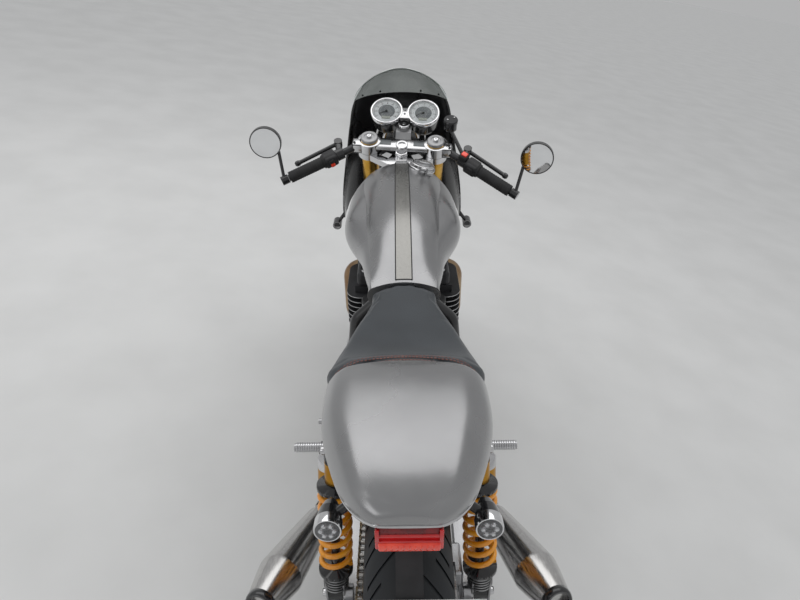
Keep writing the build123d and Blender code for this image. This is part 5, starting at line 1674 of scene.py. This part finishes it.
def chainStations():
    s = chainSettings
    rear = s["pitch"] / (2 * math.sin(math.pi / s["rearTeeth"]))
    front = s["pitch"] / (2 * math.sin(math.pi / s["frontTeeth"]))
    centreRear = Vector((0, machine["rearTyreRadius"]))
    centreFront = Vector(s["gearbox"])
    gap = centreFront - centreRear
    tilt = math.atan2(gap.y, gap.x)
    wrap = math.asin((rear - front) / gap.length)
    run = gap.length * math.cos(wrap)
    frontArc = (math.pi - 2 * wrap) * front
    rearArc = (math.pi + 2 * wrap) * rear
    whole = 2 * run + frontArc + rearArc
    top = math.pi / 2 + tilt - wrap
    low = -math.pi / 2 + tilt + wrap
    count = round(whole / s["pitch"])

    def spot(distance):
        if distance < run:
            centre, radius, angle, along = centreRear, rear, top, distance
        elif distance < run + frontArc:
            centre, radius, angle, along = centreFront, front, top - (distance - run) / front, 0
        elif distance < 2 * run + frontArc:
            centre, radius, angle, along = centreFront, front, low, distance - run - frontArc
        else:
            centre, radius, angle, along = centreRear, rear, low - (distance - 2 * run - frontArc) / rear, 0
        return Vector((centre.x + radius * math.cos(angle) + along * math.sin(angle),
                       centre.y + radius * math.sin(angle) - along * math.cos(angle)))

    return [spot(index * whole / count) for index in range(count)]


def chainPlate():
    # one plate in the YZ plane between two pins, narrow at its waist
    s = chainSettings
    half = s["plateThickness"] / 2
    pieces = [boxPiece((s["plateThickness"], s["pitch"], s["plateHeight"] * s["waist"]), (0, 0, 0))]
    for y in (-s["pitch"] / 2, s["pitch"] / 2):
        pieces.append(rodPiece((-half, y, 0), (half, y, 0), s["plateHeight"] / 2, 10))
    return joined(pieces)


def addChain():
    s = chainSettings
    stations = chainStations()
    model = chainPlate()
    plates, rollers, pins = [], [], []
    for index, start in enumerate(stations):
        finish = stations[(index + 1) % len(stations)]
        middle = (start + finish) / 2
        angle = math.atan2(finish.y - start.y, finish.x - start.x)
        half = s["outerHalf"] if index % 2 else s["innerHalf"]
        for side in (-1, 1):
            place = Matrix.Translation((s["x"] + side * (half - s["plateThickness"] / 2), middle.x,
                                        middle.y))
            plates.append(copied(model, place @ Matrix.Rotation(angle, 4, "X")))
        for name, group in (("roller", rollers), ("pin", pins)):
            half, radius, segments = s[name]
            left, right = (s["x"] - half, start.x, start.y), (s["x"] + half, start.x, start.y)
            group.append(rodPiece(left, right, radius, segments))
    bpy.data.objects.remove(model)
    chain = finishPiece(joined(plates), "chainPlates", "chassis", "chainSteel")
    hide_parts("drive_chain")
    finishPiece(joined(rollers + pins), "chainRollers", "chassis", "brushedSteel")


addChain()
print("chain made")


# Engine: bright fin edges, cover bolts, carburettor tops and the fins of the radiator

engineSettings = {
    "block": (0.792, 0.150),
    "deck": 0.486,
    "head": 0.686,
    "half": 0.152,
    "fins": 11,
    "finThickness": 0.003,
    "finWall": 0.0010,
    "edgeShare": 0.7,   # of the fin's thickness
    "finMargin": 0.024,
    "finStart": 0.016,
    "finLonger": 0.044,   # than the block
    "lowFins": 4,   # on the cylinders; those on the head are larger
    "headGrow": (0.006, 0.008),
    "corner": 0.040,
    "proud": 0.0005,
    # centre, radius, count, side and turn of the screws in each cover
    "coverScrews": [(-0.1778, 0.800, 0.350, 0.071, 8, -1), (0.1838, 0.670, 0.352, 0.071, 8, 1, 22),
                    (0.1758, 0.808, 0.348, 0.068, 5, 1, -72)],
    "coverRims": [(-0.1776, 0.800, 0.350, -1), (0.1836, 0.670, 0.352, 1), (0.1756, 0.800, 0.348, 1)],
    "coverRim": [(-0.001, 0.050), (-0.001, 0.055), (0.0012, 0.0545), (0.0012, 0.0505)],
    "carburettor": (0.080, 0.640, 0.684),
    "carburettorTop": [(-0.001, 0.0318), (0.006, 0.0318), (0.009, 0.0290), (0.0095, 0.0180),
                       (0.016, 0.0150), (0.017, 0.0120)],
    "clips": ((0.6805, 0.6005), 0.640),
    "clip": [(-0.004, 0.0288), (-0.004, 0.0302), (0.004, 0.0302), (0.004, 0.0288)],
    "camBolts": ((-0.108, -0.036, 0.036, 0.108), (0.722, 0.862), 0.7295),
    "radiatorFaces": (1.0524, 1.0876),
    "radiatorTube": (0.224, 0.0016, 0.0034),
    "radiatorTubes": 20,
    "radiatorLow": 0.4285,
    "radiatorPitch": 0.0107,
}


def pickParts(piece, kind, parts, test):
    # goes into edit mode with the edges or faces that pass the test selected
    pick(piece)
    bpy.ops.object.mode_set(mode="EDIT")
    bpy.ops.mesh.select_mode(type=kind)
    bpy.ops.mesh.select_all(action="DESELECT")
    bpy.ops.object.mode_set(mode="OBJECT")
    for part in parts:
        part.select = test(part)
    bpy.ops.object.mode_set(mode="EDIT")


def finWall(size, centre, corner):
    # a slab's side wall alone, its upright edges rounded
    slab = boxPiece(size, centre)
    points = slab.data.vertices

    def standing(edge):
        low, high = (points[index].co.z for index in edge.vertices)
        return abs(low - high) > size[2] / 2

    pickParts(slab, "EDGE", slab.data.edges, standing)
    bpy.ops.mesh.bevel(offset=corner, segments=8)
    bpy.ops.object.mode_set(mode="OBJECT")
    pickParts(slab, "FACE", slab.data.polygons, lambda face: abs(face.normal.z) > 0.9)
    bpy.ops.mesh.delete(type="FACE")
    bpy.ops.mesh.select_mode(type="VERT")
    bpy.ops.object.mode_set(mode="OBJECT")
    modified(slab, "SOLIDIFY", thickness=engineSettings["finWall"])
    return slab


def addFinEdges():
    s = engineSettings
    pitch = (s["head"] - s["deck"] - s["finMargin"]) / s["fins"]
    edges = []
    for index in range(s["fins"]):
        wider, longer = (0, 0) if index < s["lowFins"] else s["headGrow"]
        width = 2 * (s["half"] + wider + s["proud"])
        length = s["block"][1] + s["finLonger"] + longer + 2 * s["proud"]
        size = (width, length, s["finThickness"] * s["edgeShare"])
        centre = (0, s["block"][0], s["deck"] + s["finStart"] + index * pitch + s["finThickness"] / 2)
        edges.append(finWall(size, centre, s["corner"]))
    finishPiece(joined(edges), "finEdges", "chassis", "brushedAlloy", None, 40)


def addEngineTrim():
    s = engineSettings
    spots = [spot for circle in s["coverScrews"] for spot in circleSpots(*circle)]
    screwSet("coverScrews", "chassis", "polishedAlloy", spots, None, 0.9)
    rims = []
    for x, y, z, side in s["coverRims"]:
        rims.append(settle(ringPiece(s["coverRim"], 48), aimed((x, y, z), (side, 0, 0))))
    finishPiece(joined(rims), "coverRims", "chassis", "polishedAlloy", None, 50)
    tops = []
    across, ahead, high = s["carburettor"]
    clipsAhead, clipHeight = s["clips"]
    for side in (-1, 1):
        tops.append(settle(turnedPiece(s["carburettorTop"], 40),
                           Matrix.Translation((side * across, ahead, high))))
        for y in clipsAhead:
            tops.append(settle(ringPiece(s["clip"], 40), aimed((side * across, y, clipHeight), (0, 1, 0))))
    finishPiece(joined(tops), "carburettorTops", "chassis", "blackPlastic", None, 40)
    boltsAcross, boltsAhead, boltHeight = s["camBolts"]
    bolts = [((x, y, boltHeight), (0, 0, 1)) for x in boltsAcross for y in boltsAhead]
    screwSet("camCoverBolts", "chassis", "polishedAlloy", bolts, None, 1.2)


def addRadiatorFins():
    s = engineSettings
    rows = []
    for face in s["radiatorFaces"]:
        for index in range(s["radiatorTubes"]):
            rows.append(boxPiece(s["radiatorTube"],
                                 (0, face, s["radiatorLow"] + index * s["radiatorPitch"])))
    finishPiece(joined(rows), "radiatorTubes", "chassis", "castAlloy")


addFinEdges()
addEngineTrim()
addRadiatorFins()
print("engine trimmed")


# Silencers: swelling bodies, dark tips and the clamps on the link pipes

silencerSettings = {
    "start": (0.204, 0.238, 0.330),
    "finish": (0.289, -0.045, 0.420),
    "joinAt": 0.060,
    # share of the length, radius
    "shell": [(0.052, 0.0314), (0.30, 0.0384), (0.56, 0.0448), (0.680, 0.0474), (0.697, 0.0479),
              (0.703, 0.0479), (0.718, 0.0472), (0.80, 0.0424), (0.90, 0.0352), (0.958, 0.0306)],
    "tip": [(0.950, 0.0296), (0.956, 0.0312), (0.984, 0.0308), (0.998, 0.0292), (1.004, 0.0270),
            (1.000, 0.0222), (0.950, 0.0210)],
    "mouth": [(0.950, 0.0225), (0.956, 0.0212)],
    "clampBefore": 0.030,   # how far before the line's start the clamp sits
    "clamp": [(-0.008, 0.0262), (-0.008, 0.0276), (0.008, 0.0276), (0.008, 0.0262)],
}


def silencerLine(side):
    start = Vector(silencerSettings["start"]) * Vector((side, 1, 1))
    finish = Vector(silencerSettings["finish"]) * Vector((side, 1, 1))
    return start, (finish - start).normalized(), (finish - start).length


def addSilencers():
    # the CAD's link pipe and bracket, with a body that swells to its seam and runs down to a black tip
    s = silencerSettings
    start, way, reach = silencerLine(1)
    link = sliced(solidCopy("silencers"), (0, 0, 0), (-1, 0, 0))
    sliced(link, start + way * reach * s["joinAt"], way)
    shell = settle(turnedPiece([(share * reach, radius) for share, radius in s["shell"]], 72),
                   aimed(start, way))
    body = finishPiece(bothSides(joined([link, shell])), "silencerShells", "chassis", "silencerSteel",
                       None, 28)
    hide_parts("silencers")
    tips, clamps = [], []
    for side in (-1, 1):
        start, way, reach = silencerLine(side)
        tip = ringPiece([(share * reach, radius) for share, radius in s["tip"]], 64)
        end = turnedPiece([(share * reach, radius) for share, radius in s["mouth"]], 48)
        tips.append(settle(joined([tip, end]), aimed(start, way)))
        clamps.append(settle(ringPiece(s["clamp"], 48), aimed(start - way * s["clampBefore"], way)))
    finishPiece(joined(tips), "silencerTips", "chassis", "glossBlack", None, 50)
    finishPiece(joined(clamps), "silencerClamps", "chassis", "brushedSteel", None, 50)


addSilencers()


# Foot pegs: ridged sleeves over the plain pegs

pegSettings = {
    "place": (0.216, 0.433, 0.359),
    "rings": 12,
    "pitch": 0.0062,
    "radius": 0.0112,
    "crest": 0.0134,
    "steps": (0.0012, 0.0040, 0.0052),   # start and end of the crest, and its foot
}


def addPegs():
    s = pegSettings
    rows = []
    for index in range(s["rings"]):
        base = index * s["pitch"]
        rise, fall, foot = (base + step for step in s["steps"])
        rows += [(base, s["radius"]), (rise, s["crest"]), (fall, s["crest"]), (foot, s["radius"])]
    sleeves = []
    for side in (-1, 1):
        sleeves.append(settle(turnedPiece(rows, 20),
                              aimed(Vector(s["place"]) * Vector((side, 1, 1)), (side, 0, 0))))
    finishPiece(joined(sleeves), "footPegSleeves", "chassis", "polishedAlloy", None, 25)


addPegs()
print("silencers and pegs trimmed")


# Floor, light and backdrop

stageSettings = {
    "floorSize": 120.0,
    "floorColour": (0.62, 0.62, 0.61),
    "skyColour": (0.97, 0.98, 1.0),
    "skyStrength": 0.72,
    "seenSky": (0.44, 0.443, 0.446),   # what the camera and reflections see of it, like the lit floor
    # place, aim, size and power
    "softBox": ((-0.8, 0.9, 3.3), (-0.4, 0.9, 0), (2.4, 5.0), 44.0),
    "fillLight": ((-3.4, -2.6, 2.8), (0, 0, 0.6), (2.0, 2.0), 12.0),
}


def addFloor():
    bpy.ops.mesh.primitive_plane_add(size=stageSettings["floorSize"], location=(0, 0, 0))
    floor = bpy.context.object
    floor.name = "studioFloor"
    material, tree, shader = startMaterial("studioFloor", stageSettings["floorColour"], 0.0, 0.9)
    worn(tree, shader, ((0.60, 0.60, 0.59), (0.64, 0.64, 0.63)), 3, (0.85, 0.95))
    floor.data.materials.append(material)


def addLight(name, place, target, size, power):
    data = bpy.data.lights.new(name, "AREA")
    data.shape = "RECTANGLE"
    data.size, data.size_y = size
    data.energy = power
    light = bpy.data.objects.new(name, data)
    light.location = place
    light.rotation_euler = (Vector(target) - Vector(place)).to_track_quat("-Z", "Y").to_euler()
    light.visible_camera = False
    bpy.context.scene.collection.objects.link(light)


def addWorld():
    world = bpy.data.worlds.new("studioSky")
    world.use_nodes = True
    tree = world.node_tree
    background = tree.nodes["Background"]
    background.inputs["Color"].default_value = (*stageSettings["skyColour"], 1)
    background.inputs["Strength"].default_value = stageSettings["skyStrength"]
    seen = tree.nodes.new("ShaderNodeBackground")
    seen.inputs["Color"].default_value = (*stageSettings["seenSky"], 1)
    ray = tree.nodes.new("ShaderNodeLightPath")
    either = tree.nodes.new("ShaderNodeMath")
    either.operation = "MAXIMUM"
    anySeen = tree.nodes.new("ShaderNodeMath")
    anySeen.operation = "MAXIMUM"
    tree.links.new(ray.outputs["Is Camera Ray"], either.inputs[0])
    tree.links.new(ray.outputs["Is Glossy Ray"], either.inputs[1])
    tree.links.new(either.outputs["Value"], anySeen.inputs[0])
    tree.links.new(ray.outputs["Is Transmission Ray"], anySeen.inputs[1])
    choice = tree.nodes.new("ShaderNodeMixShader")
    tree.links.new(anySeen.outputs["Value"], choice.inputs["Fac"])
    tree.links.new(background.outputs["Background"], choice.inputs[1])
    tree.links.new(seen.outputs["Background"], choice.inputs[2])
    tree.links.new(choice.outputs["Shader"], tree.nodes["World Output"].inputs["Surface"])
    bpy.context.scene.world = world


addFloor()
addLight("softBox", *stageSettings["softBox"])
addLight("fillLight", *stageSettings["fillLight"])
addWorld()
bpy.context.scene.view_settings.view_transform = "Standard"
print("stage ready")
